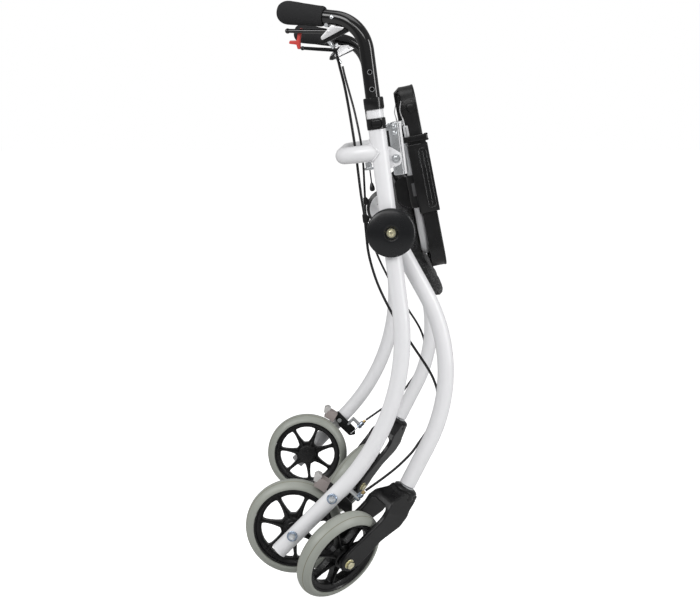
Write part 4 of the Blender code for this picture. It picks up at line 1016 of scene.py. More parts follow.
# %% Levers
def lever_bar(word):
    """Thin bar from the pivot to a ball, on the lever's own body."""
    bar = tube([(x, 0, z) for x, z in LEVER_LINE], 3.4, 24, LEVER_GIRTH)
    ball = turned([(0, -BALL_RADIUS), *BALL, (0, BALL_RADIUS)], (-118.6, 0, 309.6), (0, 1, 0), 24)
    boss = turned([(2.3, -4.2), (4.4, -4.2), (4.4, 4.2), (2.3, 4.2)], PIVOT, (0, 1, 0), 28)
    piece(f"lever_bar_{word}", HANDLE[word], f"brake_lever_{word}", GLOSS_BLACK,
          [bar, ball, boss], [f"brake_lever_{word}"])


for word, side in SIDES:
    lever_bracket(word)
    lever_cheeks(word, side)
    lever_bar(word)
print("brackets, cheeks and levers on both handles")

# %% [markdown]
# ## Parking catch
# A small red catch hangs beside the right lever; flipped under the lever it holds the brakes on. It is a
# moulded fork of three arms, so it is cut from one outline with well rounded edges and a rivet.

# %% Parking catch
CATCH = rounded([(-96.8, 310.8), (-100.8, 311.2), (-105.5, 304.0), (-108.5, 294.5), (-119.5, 296.0),
                 (-122.0, 291.5), (-110.0, 288.5), (-109.0, 281.5), (-105.0, 281.5), (-103.0, 295.0),
                 (-100.0, 304.0)], 1.8, 4)
catch = plate(CATCH, 4.4, 8.9, 1.1)
piece("red_catch", HANDLE["right"], "parking_catch", RED_PLASTIC, [catch], ["parking_catch"])
rivet = turned([(0, 1.0), (1.5, 0.8), (2.2, 0), (0, 0)], (-100, 8.8, 308.5), (0, 1, 0), 24)
piece("catch_rivet", HANDLE["right"], "parking_catch", BRIGHT_ZINC, [rivet])
print("catch outline has", len(CATCH), "points")

# %% [markdown]
# ## Wheels
# Four 150 mm wheels have solid grey tyres on black seven-spoke rims. The tyre is turned from a round
# section, and two thin rings on it are the lines that its mould leaves. The rim is turned too, its nearly
# triangular windows are cut by one cutter repeated seven times around the hub, and a rib repeated the same
# way stiffens each spoke.

# %% Tyre
WHEEL_RADIUS, TYRE_HALF, TYRE_BASE = 75.0, 14.8, 63.0
WHEEL_STEPS = 112


def tyre_radius(y):
    """Outer radius across the tyre's round section."""
    crown = TYRE_BASE + 12.0 * (1 - abs(y / TYRE_HALF) ** 2.1) ** 0.62
    return min(WHEEL_RADIUS, crown)


def tyre_profile():
    levels = [TYRE_HALF * math.sin(math.radians(6 * k)) for k in range(-15, 16)]
    points = [(tyre_radius(y), y) for y in sorted(levels)]
    return [(61.6, -13.6), (62.0, -14.4), *points[1:-1], (62.0, 14.4), (61.6, 13.6)]


TYRE = turned(tyre_profile(), (0, 0, 0), (0, 1, 0), WHEEL_STEPS)
LINE_AT = 7.2
MOULD_RINGS = []
SEAM_STEPS = ((-0.7, 0), (-0.3, 0.5), (0.3, 0.5), (0.7, 0))
for way in (-1, 1):
    seam = [(tyre_radius(LINE_AT + d) - 0.35 + lift, way * (LINE_AT + d)) for d, lift in SEAM_STEPS]
    MOULD_RINGS.append(turned(seam, (0, 0, 0), (0, 1, 0), WHEEL_STEPS))
print("tyre reaches", round(max(v.co.length for v in TYRE.vertices), 2), "mm")

# %% Windows between the seven spokes
SPOKES = 7
RIM_INNER = 51.2
RIM_SECTION = [(61.2, 12.2), (60.8, 12.6), (59.4, 12.6), (58.6, 12.0), (57.6, 9.4), (52.4, 7.4), (51.6, 6.6),
               (51.2, 4.4), (18.4, 4.4), (17.0, 6.4), (16.4, 12.8), (15.2, 14.1), (9.0, 14.1), (8.6, 13.2),
               (4.3, 13.2)]
SPOKE_HALF = ((20.5, 5.6), (24, 4.6), (29, 3.5), (35, 2.8), (42, 2.4), (47, 2.7), (50, 4.2))
WINDOW_CORNERS = [2.6, 6, 9, 20, 20, 9, 4, 20, 20, 20, 4, 9, 20, 20, 9, 6, 2.6]


def window(first):
    """Outline of the opening between two spokes: nearly a triangle with its tip at the hub."""
    second = first + math.tau / SPOKES
    sides = []
    for angle, edge in ((first, 1), (second, -1)):
        out = Vector((math.cos(angle), math.sin(angle)))
        across = Vector((-out.y, out.x)) * edge
        sides.append([out * r + across * half for r, half in SPOKE_HALF])
    turns = [first + (second - first) * t for t in (0.3, 0.5, 0.7)]
    arc = [Vector((math.cos(angle), math.sin(angle))) * RIM_INNER for angle in turns]
    return rounded(sides[0] + arc + sides[1][::-1], WINDOW_CORNERS, 5)


print("a spoke is", 2 * min(half for radius, half in SPOKE_HALF), "mm wide at its waist")

# %% Rim
def make_rim():
    """Rim about Y, made about Z and then laid over."""
    ring = turned(RIM_SECTION + [(r, -h) for r, h in reversed(RIM_SECTION)], steps=WHEEL_STEPS)
    cutter = plate(window(0.0), -20, 20, 0, axis="Z")
    open_rim = carved(ring, repeated(cutter, SPOKES, angle=360 / SPOKES))
    rib = rounded([(14, 12.6), (24, 9.2), (40, 7.4), (50, 7.6), (53.5, 9.4), (53.5, -9.4), (50, -7.6),
                   (40, -7.4), (24, -9.2), (14, -12.6)], 2, 3)
    ribs = repeated(plate(rib, -1.1, 1.1, 0.5), SPOKES, angle=360 / SPOKES)
    lay = turn(90, "X")
    return [moved(open_rim, lay), moved(ribs, lay)]


RIM = make_rim()
print("rim faces:", sum(len(m.polygons) for m in RIM))

# %% Four wheels
HUB_RING = [(4.3, 13.4), (9.6, 13.4), (10.6, 13.9), (10.8, 14.6), (10.0, 15.2), (6.4, 15.2), (6.0, 14.4),
            (4.3, 14.4)]
HUB_DOME = [(0, 12.8), (15.6, 12.8), (16.4, 13.4), (16.2, 14.2), (14.8, 14.8), (10.5, 15.4), (5.0, 15.7),
            (0, 15.8)]
SPOKE_TURN = {"rear_right": 15, "rear_left": 17, "front_right": 32, "front_left": 20}


def hub_ends(where, side):
    """Black ends of the hub: a ring where a leg or cheek follows, a dome on a rear wheel's free side."""
    ends = []
    for way in (-1, 1):
        free = where == "rear" and way == -side
        ends.append(turned(HUB_DOME if free else HUB_RING, (0, 0, 0), (0, way, 0), 48))
    return ends


for word, side in SIDES:
    for where, place in (("front", FRONT_AXLE[word]), ("rear", REAR_AXLE[word])):
        label, body = f"{where}_{word}", f"{where}_wheel_{word}"
        spun = place @ turn(-SPOKE_TURN[label], "Y")
        piece(f"tyre_of_{label}", place, body, TYRE_RUBBER, [TYRE], [f"{label}_tyre"], 40)
        piece(f"mould_lines_of_{label}", place, body, MOULD_LINE, MOULD_RINGS, crease=60)
        piece(f"rim_of_{label}", spun, body, MOULDED_BLACK, [*RIM, *hub_ends(where, side)],
              [f"{label}_rim"])
print("wheels:", ", ".join(SPOKE_TURN))

# %% [markdown]
# ## Caster forks
# Each fork is moulded in one piece: a round crown with a raised ring, shoulders that swell as they leave
# it, and two cheeks that sweep back to the axle. A block is cut to its side and front outlines, remeshed
# into an even skin and relaxed, which leaves the soft flowing edges of a moulding. The crown ring is turned
# on top.

# %% Fork moulding
FORK_SIDE = [(-16.5, -4), (16.5, -4), (15.5, -15), (9.5, -28), (8.8, -43), (5, -57), (-7, -72), (-18, -88),
             (-24, -106), (-33, -129), (-46, -145), (-66, -146), (-76, -134), (-75, -122), (-71, -110),
             (-62, -92), (-55, -77), (-46, -58), (-43, -48), (-43, -34), (-40, -23), (-20, -11)]
FORK_FRONT = [(-16, 5), (-16.5, -11), (-20.5, -23), (-24.4, -37), (-25, -60), (-24.2, -105), (-25, -160),
              (25, -160), (24.2, -105), (25, -60), (24.4, -37), (20.5, -23), (16.5, -11), (16, 5)]
WHEEL_SLOT = [(-17.8, -170), (17.8, -170), (17.8, -33), (-17.8, -33)]


def make_fork():
    """Fork in its swivel's frame: the crown on the stem's axis, the axle behind and below."""
    across = turn(90, "Z")
    body = plate(rounded(FORK_SIDE, 6, 3), -25, 25, 0)
    obj = on_bench(body)
    mask = on_bench(moved(plate(rounded(FORK_FRONT, 8, 3), -120, 120, 0), across))
    modifier = obj.modifiers.new("front outline", "BOOLEAN")
    modifier.operation, modifier.solver, modifier.object = "INTERSECT", "EXACT", mask
    rough = evaluated(obj)
    bpy.data.objects.remove(mask, do_unlink=True)
    rough = carved(rough, moved(plate(rounded(WHEEL_SLOT, [0.1, 0.1, 8, 8], 5), -120, 120, 0), across))
    obj = on_bench(rough)
    remesh = obj.modifiers.new("even skin", "REMESH")
    remesh.mode, remesh.voxel_size, remesh.use_smooth_shade = "VOXEL", 0.95, True
    relax = obj.modifiers.new("soft edges", "SMOOTH")
    relax.factor, relax.iterations = 0.5, 12
    return evaluated(obj)


FORK = make_fork()
print("fork faces:", len(FORK.polygons))

# %% Casters
CROWN_RING = [(0, -0.2), (15.5, -0.2), (16.2, -0.9), (17.6, -1.3), (18.9, -2.4), (18.9, -5.2), (18.0, -6.2),
              (17.2, -7.2), (17.4, -9.5), (18.6, -10.8), (18.6, -15.5), (17.6, -17.5), (0, -17.5)]
STEM_COLLAR = [(0, 2.4), (10.4, 2.4), (10.9, 2.0), (10.9, 0.6), (10.5, 0.2), (0, 0.2)]
AXLE_PAD = [(0, 0.6), (9.0, 0.6), (10.5, 0), (10.5, -2), (0, -2)]
for word, side in SIDES:
    place, body = SWIVEL[word], f"caster_{word}"
    ring = turned(CROWN_RING, steps=64)
    pads = [turned(AXLE_PAD, (FORK_AXLE_X, way * 24.4, FORK_AXLE_Z), (0, way, 0), 40) for way in (-1, 1)]
    piece(f"fork_moulding_{word}", place, body, FORK_BLACK, [FORK, ring, *pads],
          [f"caster_fork_{word}"], 50)
    ends = []
    for way in (-1, 1):
        ends += aimed(hex_head(6.6, 5.0, 8.0), (FORK_AXLE_X, way * 25.0, FORK_AXLE_Z), (0, way, 0))
    axle = shank(4.0, (FORK_AXLE_X, -30, FORK_AXLE_Z), (FORK_AXLE_X, 30, FORK_AXLE_Z))
    piece(f"caster_axle_bolt_{word}", place, body, YELLOW_ZINC, [*ends, axle],
          [f"caster_bolt_{word}"])
    collar = turned(STEM_COLLAR, steps=56)
    pin = shank(4.8, (0, 0, -24), (0, 0, 1))
    piece(f"stem_pin_{word}", STEM[word], "front_legs", BRIGHT_ZINC, [collar, pin],
          [f"stem_bolt_{word}"])
print("casters are turned", CASTER_TURN, "degrees")

# %% [markdown]
# ## Rear axles and brakes
# The rear wheels run on bolts through the legs, whose zinc heads sit outside on bluish dished washers. Above
# each wheel a black arm carries a rubber shoe, which the cable pulls on the tyre. The cable's housing ends
# in a fluted barrel on a bent bracket.

# %% Outlines of the brake's parts
BRAKE_ARM = rounded([(-9.5, 5.5), (-3.5, 18.5), (30, -16), (30, -28), (19, -30), (0, -11.5)], 3, 5)
ARM_RIB = rounded([(-4, 8), (-1, 12), (24, -17), (24, -22), (18, -23)], 2.5, 4)
WHEEL_X, WHEEL_Z = -60.5, -58.8
SHOE_FOOT = 76.5


def shoe_outline():
    """Shoe seen from the side, its foot curved to the tyre."""
    aim = math.atan2(14.1 - WHEEL_Z, -14.9 - WHEEL_X)
    points = []
    for k in range(9):
        angle = aim + math.radians(-7.4 + 14.8 * k / 8)
        points.append((WHEEL_X + SHOE_FOOT * math.cos(angle), WHEEL_Z + SHOE_FOOT * math.sin(angle)))
    for radius, across in ((90, 9), (93, 4), (93, -9)):
        points.append((WHEEL_X + radius * math.cos(aim) - across * math.sin(aim),
                       WHEEL_Z + radius * math.sin(aim) + across * math.cos(aim)))
    return points


SHOE_NOSE = rounded([(-21.3, 15.5), (-29.3, 19.2), (-27.7, 27.7), (-21.8, 30.2), (-15.5, 26.6)], 2, 4)
print("shoe outline has", len(shoe_outline()), "points")

# %% Rear axle bolts and brake bolts
DISHED_WASHER = [(0, 0), (7.9, 0), (8.3, 0.4), (8.2, 1.2), (7.6, 1.5), (6.8, 1.2), (6.0, 0.6), (0, 0.6)]
REAR_BOLTS = (("axle", REAR_AXLE_X, REAR_AXLE_Z, 229.3, 198.5, "rear_axle_bolt"),
              ("brake", BRAKE_PIVOT_X, BRAKE_PIVOT_Z, 236.6, 229.0, "brake_arm_bolt"))


def rear_bolts(word, side):
    """Bolts through one rear leg, each with a dished washer outside and a spacer inside."""
    for label, x, z, shoulder, tip, node in REAR_BOLTS:
        inner = shank(4.0, (x, side * tip, z), (x, side * 263, z))
        head = aimed(hex_head(5.4, 3.6, None, 0.4), (x, side * 263.5, z), (0, side, 0))
        piece(f"{label}_hex_bolt_{word}", HUB, "frame", BRIGHT_ZINC, [inner, *head],
              [f"{node}_{word}"])
        dish = turned(DISHED_WASHER, (x, side * 262.6, z), (0, side, 0), 48)
        piece(f"{label}_washer_{word}", HUB, "frame", BLUE_ZINC, [dish])
        collar = [(4.1, 237.2), (6.4, 237.2), (6.8, 236.8), (6.8, shoulder), (4.1, shoulder)]
        collar = turned(collar, (x, 0, z), (0, side, 0), 32)
        piece(f"{label}_spacer_{word}", HUB, "frame", MOULDED_BLACK, [collar])


print("bolts at each rear leg:", len(REAR_BOLTS))

# %% Brake arms and shoes
def brake_arm_and_shoe(word, side):
    """Black arm with a rib, its rubber shoe and the shoe's pale nose."""
    arm = plate(BRAKE_ARM, *span(side, 231.2, 236.2), 0.7)
    rib = plate(ARM_RIB, *span(side, 230.2, 231.3), 0.4)
    body = f"brake_arm_{word}"
    piece(f"brake_arm_plate_{word}", BRAKE, body, MOULDED_BLACK, [arm, rib],
          [f"brake_arm_{word}"])
    shoe = plate(shoe_outline(), *span(side, 212.0, 236.0), 1.0)
    piece(f"brake_shoe_block_{word}", BRAKE, body, SHOE_RUBBER, [shoe],
          [f"brake_shoe_{word}"])
    nose = plate(SHOE_NOSE, *span(side, 213.0, 235.0), 1.2)
    piece(f"brake_shoe_tip_{word}", BRAKE, body, SHOE_TIP, [nose])


print("shoe's foot is at radius", SHOE_FOOT, "from the axle")

# %% Cable stops
CABLE_WAY = Vector((-0.73, 0, -0.68)).normalized()
BARREL = [(0, 0), (3.8, 0), (4.5, 0.7), (4.5, 5.4), (3.6, 6.0), (3.6, 6.8), (4.8, 7.2), (4.8, 12.4),
          (4.2, 13.0), (0, 13.0)]
CABLE_STOP = rounded([(-72.0, -407.0), (-60.5, -395.5), (-45.5, -410.5), (-48.0, -413.0), (-60.5, -400.5),
                      (-69.5, -409.5)], 1, 2)
CABLE_TIP = [(0, 0.4), (2.6, 0.4), (2.9, 1.0), (2.9, 5.4), (2.2, 6.4), (0, 6.4)]
FLUTES = 14


def cable_end(word, side):
    """Bracket on the leg, fluted barrel, brass tip and the bare wire that pulls the arm."""
    base = Vector((-37.5, side * 226.5, -401.0))
    start = base + CABLE_WAY * 6.0
    barrel = turned(BARREL, start, CABLE_WAY, 32)
    flutes = repeated(block((4.2, -0.35, 7.6), (5.1, 0.35, 12.0), 0.2), FLUTES, angle=360 / FLUTES)
    bracket = plate(CABLE_STOP, *span(side, 221.0, 236.0), 0.4)
    piece(f"cable_stop_bracket_{word}", HUB, "frame", BRIGHT_ZINC, [bracket], [f"cable_stop_{word}"])
    piece(f"cable_barrel_{word}", HUB, "frame", BLUE_ZINC,
          [barrel, *aimed([flutes], start, CABLE_WAY)])
    piece(f"cable_tip_{word}", HUB, "frame", BRASS, [turned(CABLE_TIP, base, CABLE_WAY, 28)])
    wire = tube([base + CABLE_WAY * d for d in (16, 20, 26, 32, 38)], 0.8, 12)
    piece(f"bare_wire_{word}", HUB, "frame", BRIGHT_ZINC, [wire])


for word, side in SIDES:
    rear_bolts(word, side)
    brake_arm_and_shoe(word, side)
    cable_end(word, side)
print("rear axles and brakes on both sides")

# %% [markdown]
# ## Tray hinge
# The tray turns on shouldered bolts through the white gussets. Zinc angles, folded from strip, carry its
# tube: one leg lies against the gusset, with two screws at its top, and the other shows as a bright upright
# edge. A short black strip guards the leg's rear edge beside the upright.

# %% Tray tube
HOOP_PATH = walk((-182, 52), -90, ((172, 28, 90), (308, 28, 90), (172, 0, 0)), step=6)
piece("tray_hoop", TRAY, "tray", PALE_ALLOY, [tube([(20, y, z) for y, z in HOOP_PATH], 7, 40)])
print("tray tube is", length_of(HOOP_PATH), "mm long")

# %% Zinc angles and pivot bolts
ANGLE_FLANGE = rounded([(16.5, 80), (33, 80), (33, 158), (23, 156), (16.5, 148)], 3, 4)
SCREW_DOME = [(0, 1.6), (1.6, 1.5), (3.0, 0.9), (3.5, 0), (0, 0)]
SCREW_SPOTS = ((24.6, 151.5), (24.4, 142.0))
PIVOT_SLEEVE = [(3, 238.7), (5.7, 238.7), (6, 238.4), (6, 230.2), (5.7, 230), (3, 230)]


def tray_pivot(word, side):
    """Shouldered bolt with a nut, on which the tray turns."""
    x, z = TRAY_PIVOT_X, TRAY_PIVOT_Z
    bolt = [shank(3.0, (x, side * 224, z), (x, side * 244, z)),
            turned(PIVOT_SLEEVE, (x, 0, z), (0, side, 0), 32),
            *aimed(hex_head(5.0, 3.0, 6.4, 0.3), (x, side * 243.2, z), (0, side, 0)),
            *aimed(hex_head(5.2, 2.8), (x, side * 226.2, z), (0, -side, 0))]
    piece(f"tray_hinge_bolt_{word}", UPRIGHT, "frame", BRIGHT_ZINC, bolt,
          [f"tray_pivot_bolt_{word}"])


angles = []
for word, side in SIDES:
    angles.append(plate(ANGLE_FLANGE, *span(side, 226.5, 229.5), 0.4))
    angles.append(side_block(side, (30.1, 174, 80.3), (32.9, 229.3, 154.6), 0.5))
    for x, z in SCREW_SPOTS:
        angles += aimed([turned(SCREW_DOME, steps=28)], (x, side * 229.4, z), (0, side, 0))
    tray_pivot(word, side)
    lip = [(30.2, side * 229.9), (36.0, side * 227.6), (36.0, side * 225.4), (30.2, side * 227.6)]
    lip = plate(lip, 80.6, 157.4, 0.4, axis="Z")
    piece(f"angle_lip_{word}", UPRIGHT, "tray", PALE_ALLOY, [lip])
    guard = side_block(side, (13.4, 229.0, 122), (16.7, 230.2, 146.5), 0.4)
    piece(f"angle_guard_{word}", UPRIGHT, "tray", MOULDED_BLACK, [guard])
piece("tray_angles", UPRIGHT, "tray", BRIGHT_ZINC, angles, ["tray_frame"])
print("tray hinge bolts at", TRAY_PIVOT_Z, "mm up the uprights")

# %% [markdown]
# ## Tray
# The serving tray is moulded black plastic, about 390 by 280 mm: a thin floor with a deep rim on both faces
# and large corner radii. It is lofted as a stack of rounded rectangles, each a little inside or beyond the
# last, which gives the rolled lip and the wall's soft corners. Shallow ribs stiffen the underside.

# %% Rings of the tray's wall
TRAY_HALF, TRAY_FOOT, TRAY_TOP, TRAY_CORNER = 195, -176.5, 102, 35


def tray_ring(inset, x):
    """Rounded rectangle of the tray's edge, inset by a distance, at a depth x."""
    half, low, high = TRAY_HALF - inset, TRAY_FOOT + inset, TRAY_TOP - inset
    corners = [(-half, low), (half, low), (half, high), (-half, high)]
    return [(x, a, b) for a, b in rounded(corners, max(4, TRAY_CORNER - inset), 9)]


TRAY_WALL = [(6.0, 33.1), (4.4, 33.0), (3.4, 32.0), (2.8, 29.0), (2.5, 25.2), (1.9, 24.6), (0.7, 24.6),
             (0.1, 25.2), (0.3, 34.0), (0.1, 43.6), (-0.5, 44.4), (-0.6, 45.6), (0.1, 46.6), (1.6, 46.9),
             (2.9, 46.0), (3.0, 44.6), (3.1, 39.0), (3.8, 36.6), (6.0, 36.0)]
print("the tray's wall is a stack of", len(TRAY_WALL), "rings")

# %% Tray body
bm = bmesh.new()
rings = [[bm.verts.new(p) for p in tray_ring(inset, x)] for inset, x in TRAY_WALL]
for a, b in zip(rings, rings[1:]):
    for i in range(len(a)):
        j = (i + 1) % len(a)
        bm.faces.new((a[i], a[j], b[j], b[i]))
bm.faces.new(rings[0])
bm.faces.new(rings[-1])
bmesh.ops.recalc_face_normals(bm, faces=bm.faces)
shell = mesh_of(bm)
upright_ribs = repeated(block((30.4, -151.2, -168), (33.2, -148.8, 94), 0.4), 7, step=(0, 50, 0))
cross_ribs = repeated(block((30.4, -188, -118.2), (33.2, 188, -115.8), 0.4), 4, step=(0, 0, 55))
piece("tray_moulding", TRAY, "tray", MOULDED_BLACK, [shell, upright_ribs, cross_ribs],
      ["serving_tray"])
stud = [(0, 1.6), (5.0, 1.6), (6.4, 1.0), (7.0, 0), (7.0, -1), (0, -1)]
studs = [turned(stud, (37.2, side * TRAY_HALF, 68.0), (0, side, 0), 40) for word, side in SIDES]
piece("tray_side_studs", TRAY, "tray", MOULDED_BLACK, studs)
depths = [depth for inset, depth in TRAY_WALL]
print("tray is", 2 * TRAY_HALF, "mm wide, its rim", round(max(depths) - min(depths), 1), "mm deep")

# %% [markdown]
# ## Tray clips
# On each side a black channel clips the tray to its tube. Its face has a long rounded recess with two small
# slots, and a strap loops round the tray above it, held by a saddle on the hoop.

# %% Tray clips
CLIP_CHANNEL = [(20.5, 185.0), (20.5, 199.2), (51.2, 199.2), (51.2, 185.0), (46.0, 185.0), (46.0, 195.8),
                (25.0, 195.8), (25.0, 185.0)]
CLIP_EDGE = rounded([(35.6, 6.0), (46.6, 6.0), (46.6, -83.5), (35.6, -83.5)], 4.8, 6)
SLOT_SPOTS = (-3, -72)


def clip_bead(word, side):
    """Raised bead round the recess of the clip's face, with a bar along its middle."""
    bead = tube([(x, side * 199.6, z) for x, z in [*CLIP_EDGE, CLIP_EDGE[0]]], 1.1, 16)
    bar = tube([(41.4, side * 199.4, z) for z in (2, -20, -40, -60, -79)], 1.2, 16)
    piece(f"clip_face_bead_{word}", TRAY, "tray", GLOSS_BLACK, [bead, bar])


def clip_channel(word, side):
    """Channel with its strap, lugs, link and saddle, and two slots in its face."""
    outline = [(x, side * y) for x, y in CLIP_CHANNEL]
    channel = plate(rounded(outline, 1.4, 3), -90, 13.5, 0.8, axis="Z")
    outer = [(15.6, side * 174), (15.6, side * 199.8), (53.6, side * 199.8), (53.6, side * 174)]
    inner = [(17.6, side * 168), (17.6, side * 197.6), (51.6, side * 197.6), (51.6, side * 168)]
    strap = carved(plate(rounded(outer, 3.5, 5), 18.0, 26.6, 0.7, axis="Z"),
                   plate(rounded(inner, 2.0, 4), 10, 40, 0, axis="Z"))
    lugs = [side_block(side, (48.4, 190, 16.4), (54.2, 199.4, 19.6), 1.2),
            side_block(side, (48.4, 190, 24.4), (54.2, 199.4, 27.4), 1.2)]
    link = side_block(side, (40.2, 196, 12), (49.5, 199.2, 22), 0.8)
    saddle_block = side_block(side, (12.4, 176, 27.6), (26.4, 190.4, 44.6), 1.6)
    piece(f"clip_channel_{word}", TRAY, "tray", CLIP_BLACK,
          [channel, strap, *lugs, link, saddle_block], [f"tray_clip_{word}"])
    slots = [side_block(side, (37.2, 198.7, z - 6), (39.2, 199.5, z + 6), 0.3) for z in SLOT_SPOTS]
    piece(f"clip_slots_{word}", TRAY, "tray", MOULDED_BLACK, slots)


print("clip is", max(x for x, y in CLIP_CHANNEL) - min(x for x, y in CLIP_CHANNEL), "mm deep")

# %% Strap hooks
HOOK_WIRE = [(24.8, 187, 80.4), (20.6, 187.4, 68), (21.0, 188, 60), (21.4, 191.5, 57), (21.6, 195.6, 55),
             (21.9, 196.4, 51), (22.5, 196.3, 46), (22.9, 196.0, 41)]


def strap_hook(word, side):
    """Folded lug that the strap hooks on, with the spring wire above it."""
    back_leg = side_block(side, (22.4, 188, 27), (24.2, 196.8, 42), 0.5)
    side_leg = side_block(side, (19.5, 195.2, 26), (27.0, 196.8, 43), 0.5)
    wire = tube(smooth_route([(x, side * y, z) for x, y, z in HOOK_WIRE], 32), 0.9, 12)
    piece(f"strap_hook_{word}", TRAY, "tray", PALE_ALLOY, [back_leg, side_leg, wire])


for word, side in SIDES:
    clip_bead(word, side)
    clip_channel(word, side)
    strap_hook(word, side)
print("clips on both sides of the tray")

# %% [markdown]
# ## Mesh bag
# The bag is a pouch of black mesh cloth behind the tray, open at the top, that hangs from the hoop. It is
# lofted from its side section: the section narrows to a seam at each end, the foot sags between them, and
# noise with a fixed field gives soft creases. The cloth then gets its real thickness, with a rolled hem
# along its mouth.

# %% Mesh cloth
def mesh_cloth():
    """Black mesh with a weave in the cloth's own coordinates, and a painted highlight: some threads are
    coloured pale grey as glints.
    """
    made = finish("black_mesh_cloth", (0.012, 0.012, 0.013), 0.75, grains=1400, depth=0.3, drift=0.4,
                  patches=70, Sheen_Weight=0.25, Sheen_Roughness=0.4)
    tree = made.node_tree
    shader = tree.nodes["Principled BSDF"]
    cloth = add(tree, "ShaderNodeUVMap", uv_map="weave").outputs[0]
    threads = []
    for direction in ("X", "Y"):
        wave = add(tree, "ShaderNodeTexWave", {"Vector": cloth, "Scale": 1.0, "Distortion": 0.35},
                   wave_type="BANDS", bands_direction=direction)
        threads.append(wave.outputs["Fac"])
    woven = add(tree, "ShaderNodeMath", {0: threads[0], 1: threads[1]}, operation="MAXIMUM").outputs[0]
    # Painted highlight: random cells of the threads get a pale grey colour that stands in for glints of
    # light.
    cells = add(tree, "ShaderNodeTexVoronoi", {"Vector": cloth, "Scale": 1.6}).outputs["Color"]
    luck = add(tree, "ShaderNodeSeparateColor", {0: cells}).outputs[0]
    painted_glint_cells = add(tree, "ShaderNodeMapRange", {"Value": luck, 1: 0.80, 2: 0.92}).outputs[0]
    painted_glint_mask = add(tree, "ShaderNodeMath", {0: painted_glint_cells, 1: woven}, operation="MULTIPLY").outputs[0]
    base = shader.inputs["Base Color"].links[0].from_socket
    dark = add(tree, "ShaderNodeMix", {"Factor": woven, 6: (0.0035, 0.0035, 0.004, 1), 7: base},
               data_type="RGBA")
    # The pale grey mixed in here is the painted glint on the threads.
    tone = add(tree, "ShaderNodeMix", {"Factor": painted_glint_mask, 6: dark.outputs[2], 7: (0.16, 0.16, 0.17, 1)},
               data_type="RGBA")
    tree.links.new(tone.outputs[2], shader.inputs["Base Color"])
    bump = add(tree, "ShaderNodeBump", {"Strength": 0.8, "Distance": 0.0006, "Height": woven})
    tree.links.new(bump.outputs[0], shader.inputs["Normal"])
    return made


MESH_CLOTH = mesh_cloth()
print("the weave has", len(MESH_CLOTH.node_tree.nodes), "nodes")

# %% Form of the bag
BAG_SECTION = [(-7.0, -40, 0), (-9.0, -62, 0), (-10.2, -95, 0), (-11.2, -130, 0), (-11.4, -160, 0),
               (-7.4, -186, 0), (4.0, -209, 0), (17.5, -223.5, 0), (28.0, -227.0, 0), (33.4, -219, 0),
               (31.0, -203, 0), (24.0, -189, 0), (15.0, -170, 0), (12.4, -145, 0), (12.0, -100, 0),
               (12.0, -60, 0), (12.0, -36, 0)]
BAG_HALF, BAG_FLOOR = 170, -237
ACROSS, AROUND = 84, 72
THREAD_PITCH = 1.3


def bag_point(section, share):
    """Point of the bag for a share from -1 to 1 across its width."""
    x, z = section
    low = min(1.0, max(0.0, (-z - 40) / 185))
    middle = 2.5 + 22 * low ** 2.2
    pinch = max(0.0, (abs(share) - 0.90) / 0.10)
    x = middle + (x - middle) * math.sqrt(max(0.0, 1 - pinch ** 2))
    z += low ** 2 * (12 * abs(share) ** 3 - 4 + (-7 * share ** 4 if share > 0 else 0))
    broad = noise.noise(Vector((share * 6.5, z / 46, x / 60))) * 2.6
    fold = broad + noise.noise(Vector((share * 17, z / 24, 3))) * 1.1
    x += fold * min(1, 0.25 + low) * (1 - pinch)
    z += noise.noise(Vector((share * 9, 7.0, x / 40))) * 3.0 * low
    return Vector((x, share * BAG_HALF, max(z, BAG_FLOOR)))


print("the bag is", 2 * BAG_HALF, "mm wide")

# %% Cloth with its weave coordinates
section = [(p.x, p.y) for p in smooth_route(BAG_SECTION, AROUND)]
bm = bmesh.new()
weave = bm.loops.layers.uv.new("weave")
grid = [[bm.verts.new(bag_point(p, 2 * i / (ACROSS - 1) - 1)) for p in section] for i in range(ACROSS)]
length_at = [0.0]
for a, b in zip(section, section[1:]):
    length_at.append(length_at[-1] + math.dist(a, b))
for i in range(ACROSS - 1):
    for k in range(AROUND - 1):
        face = bm.faces.new((grid[i][k], grid[i + 1][k], grid[i + 1][k + 1], grid[i][k + 1]))
        for loop, (u, v) in zip(face.loops, ((i, k), (i + 1, k), (i + 1, k + 1), (i, k + 1))):
            loop[weave].uv = (u * 2 * BAG_HALF / (ACROSS - 1) / THREAD_PITCH, length_at[v] / THREAD_PITCH)
print("round the bag the cloth measures", round(length_at[-1]), "mm")

# %% Thickness and hems
pouch = on_bench(mesh_of(bm))
wall = pouch.modifiers.new("cloth thickness", "SOLIDIFY")
wall.thickness, wall.offset = 1.1, 0.0
cloth_shell = evaluated(pouch)
hems = []
for row in (0, AROUND - 1):
    edge = [bag_point(section[row], 2 * i / (ACROSS - 1) - 1) for i in range(ACROSS)]
    hems.append(tube(edge, 1.7, 12))
piece("mesh_pouch", TRAY, "bag", MESH_CLOTH, [cloth_shell], ["bag"], 80)
piece("pouch_hems", TRAY, "bag", LABEL_CLOTH, hems, crease=80)
print("bag cloth faces:", len(cloth_shell.polygons))

# %% [markdown]
# ## Sleeves, wings and label
# At each side the bag's cloth runs as a wing to the hoop, where a sewn sleeve wraps the tube, and a small
# woven label is stitched on the right one. The wing is a thin sheet, and a line of stitches follows its
# edge.

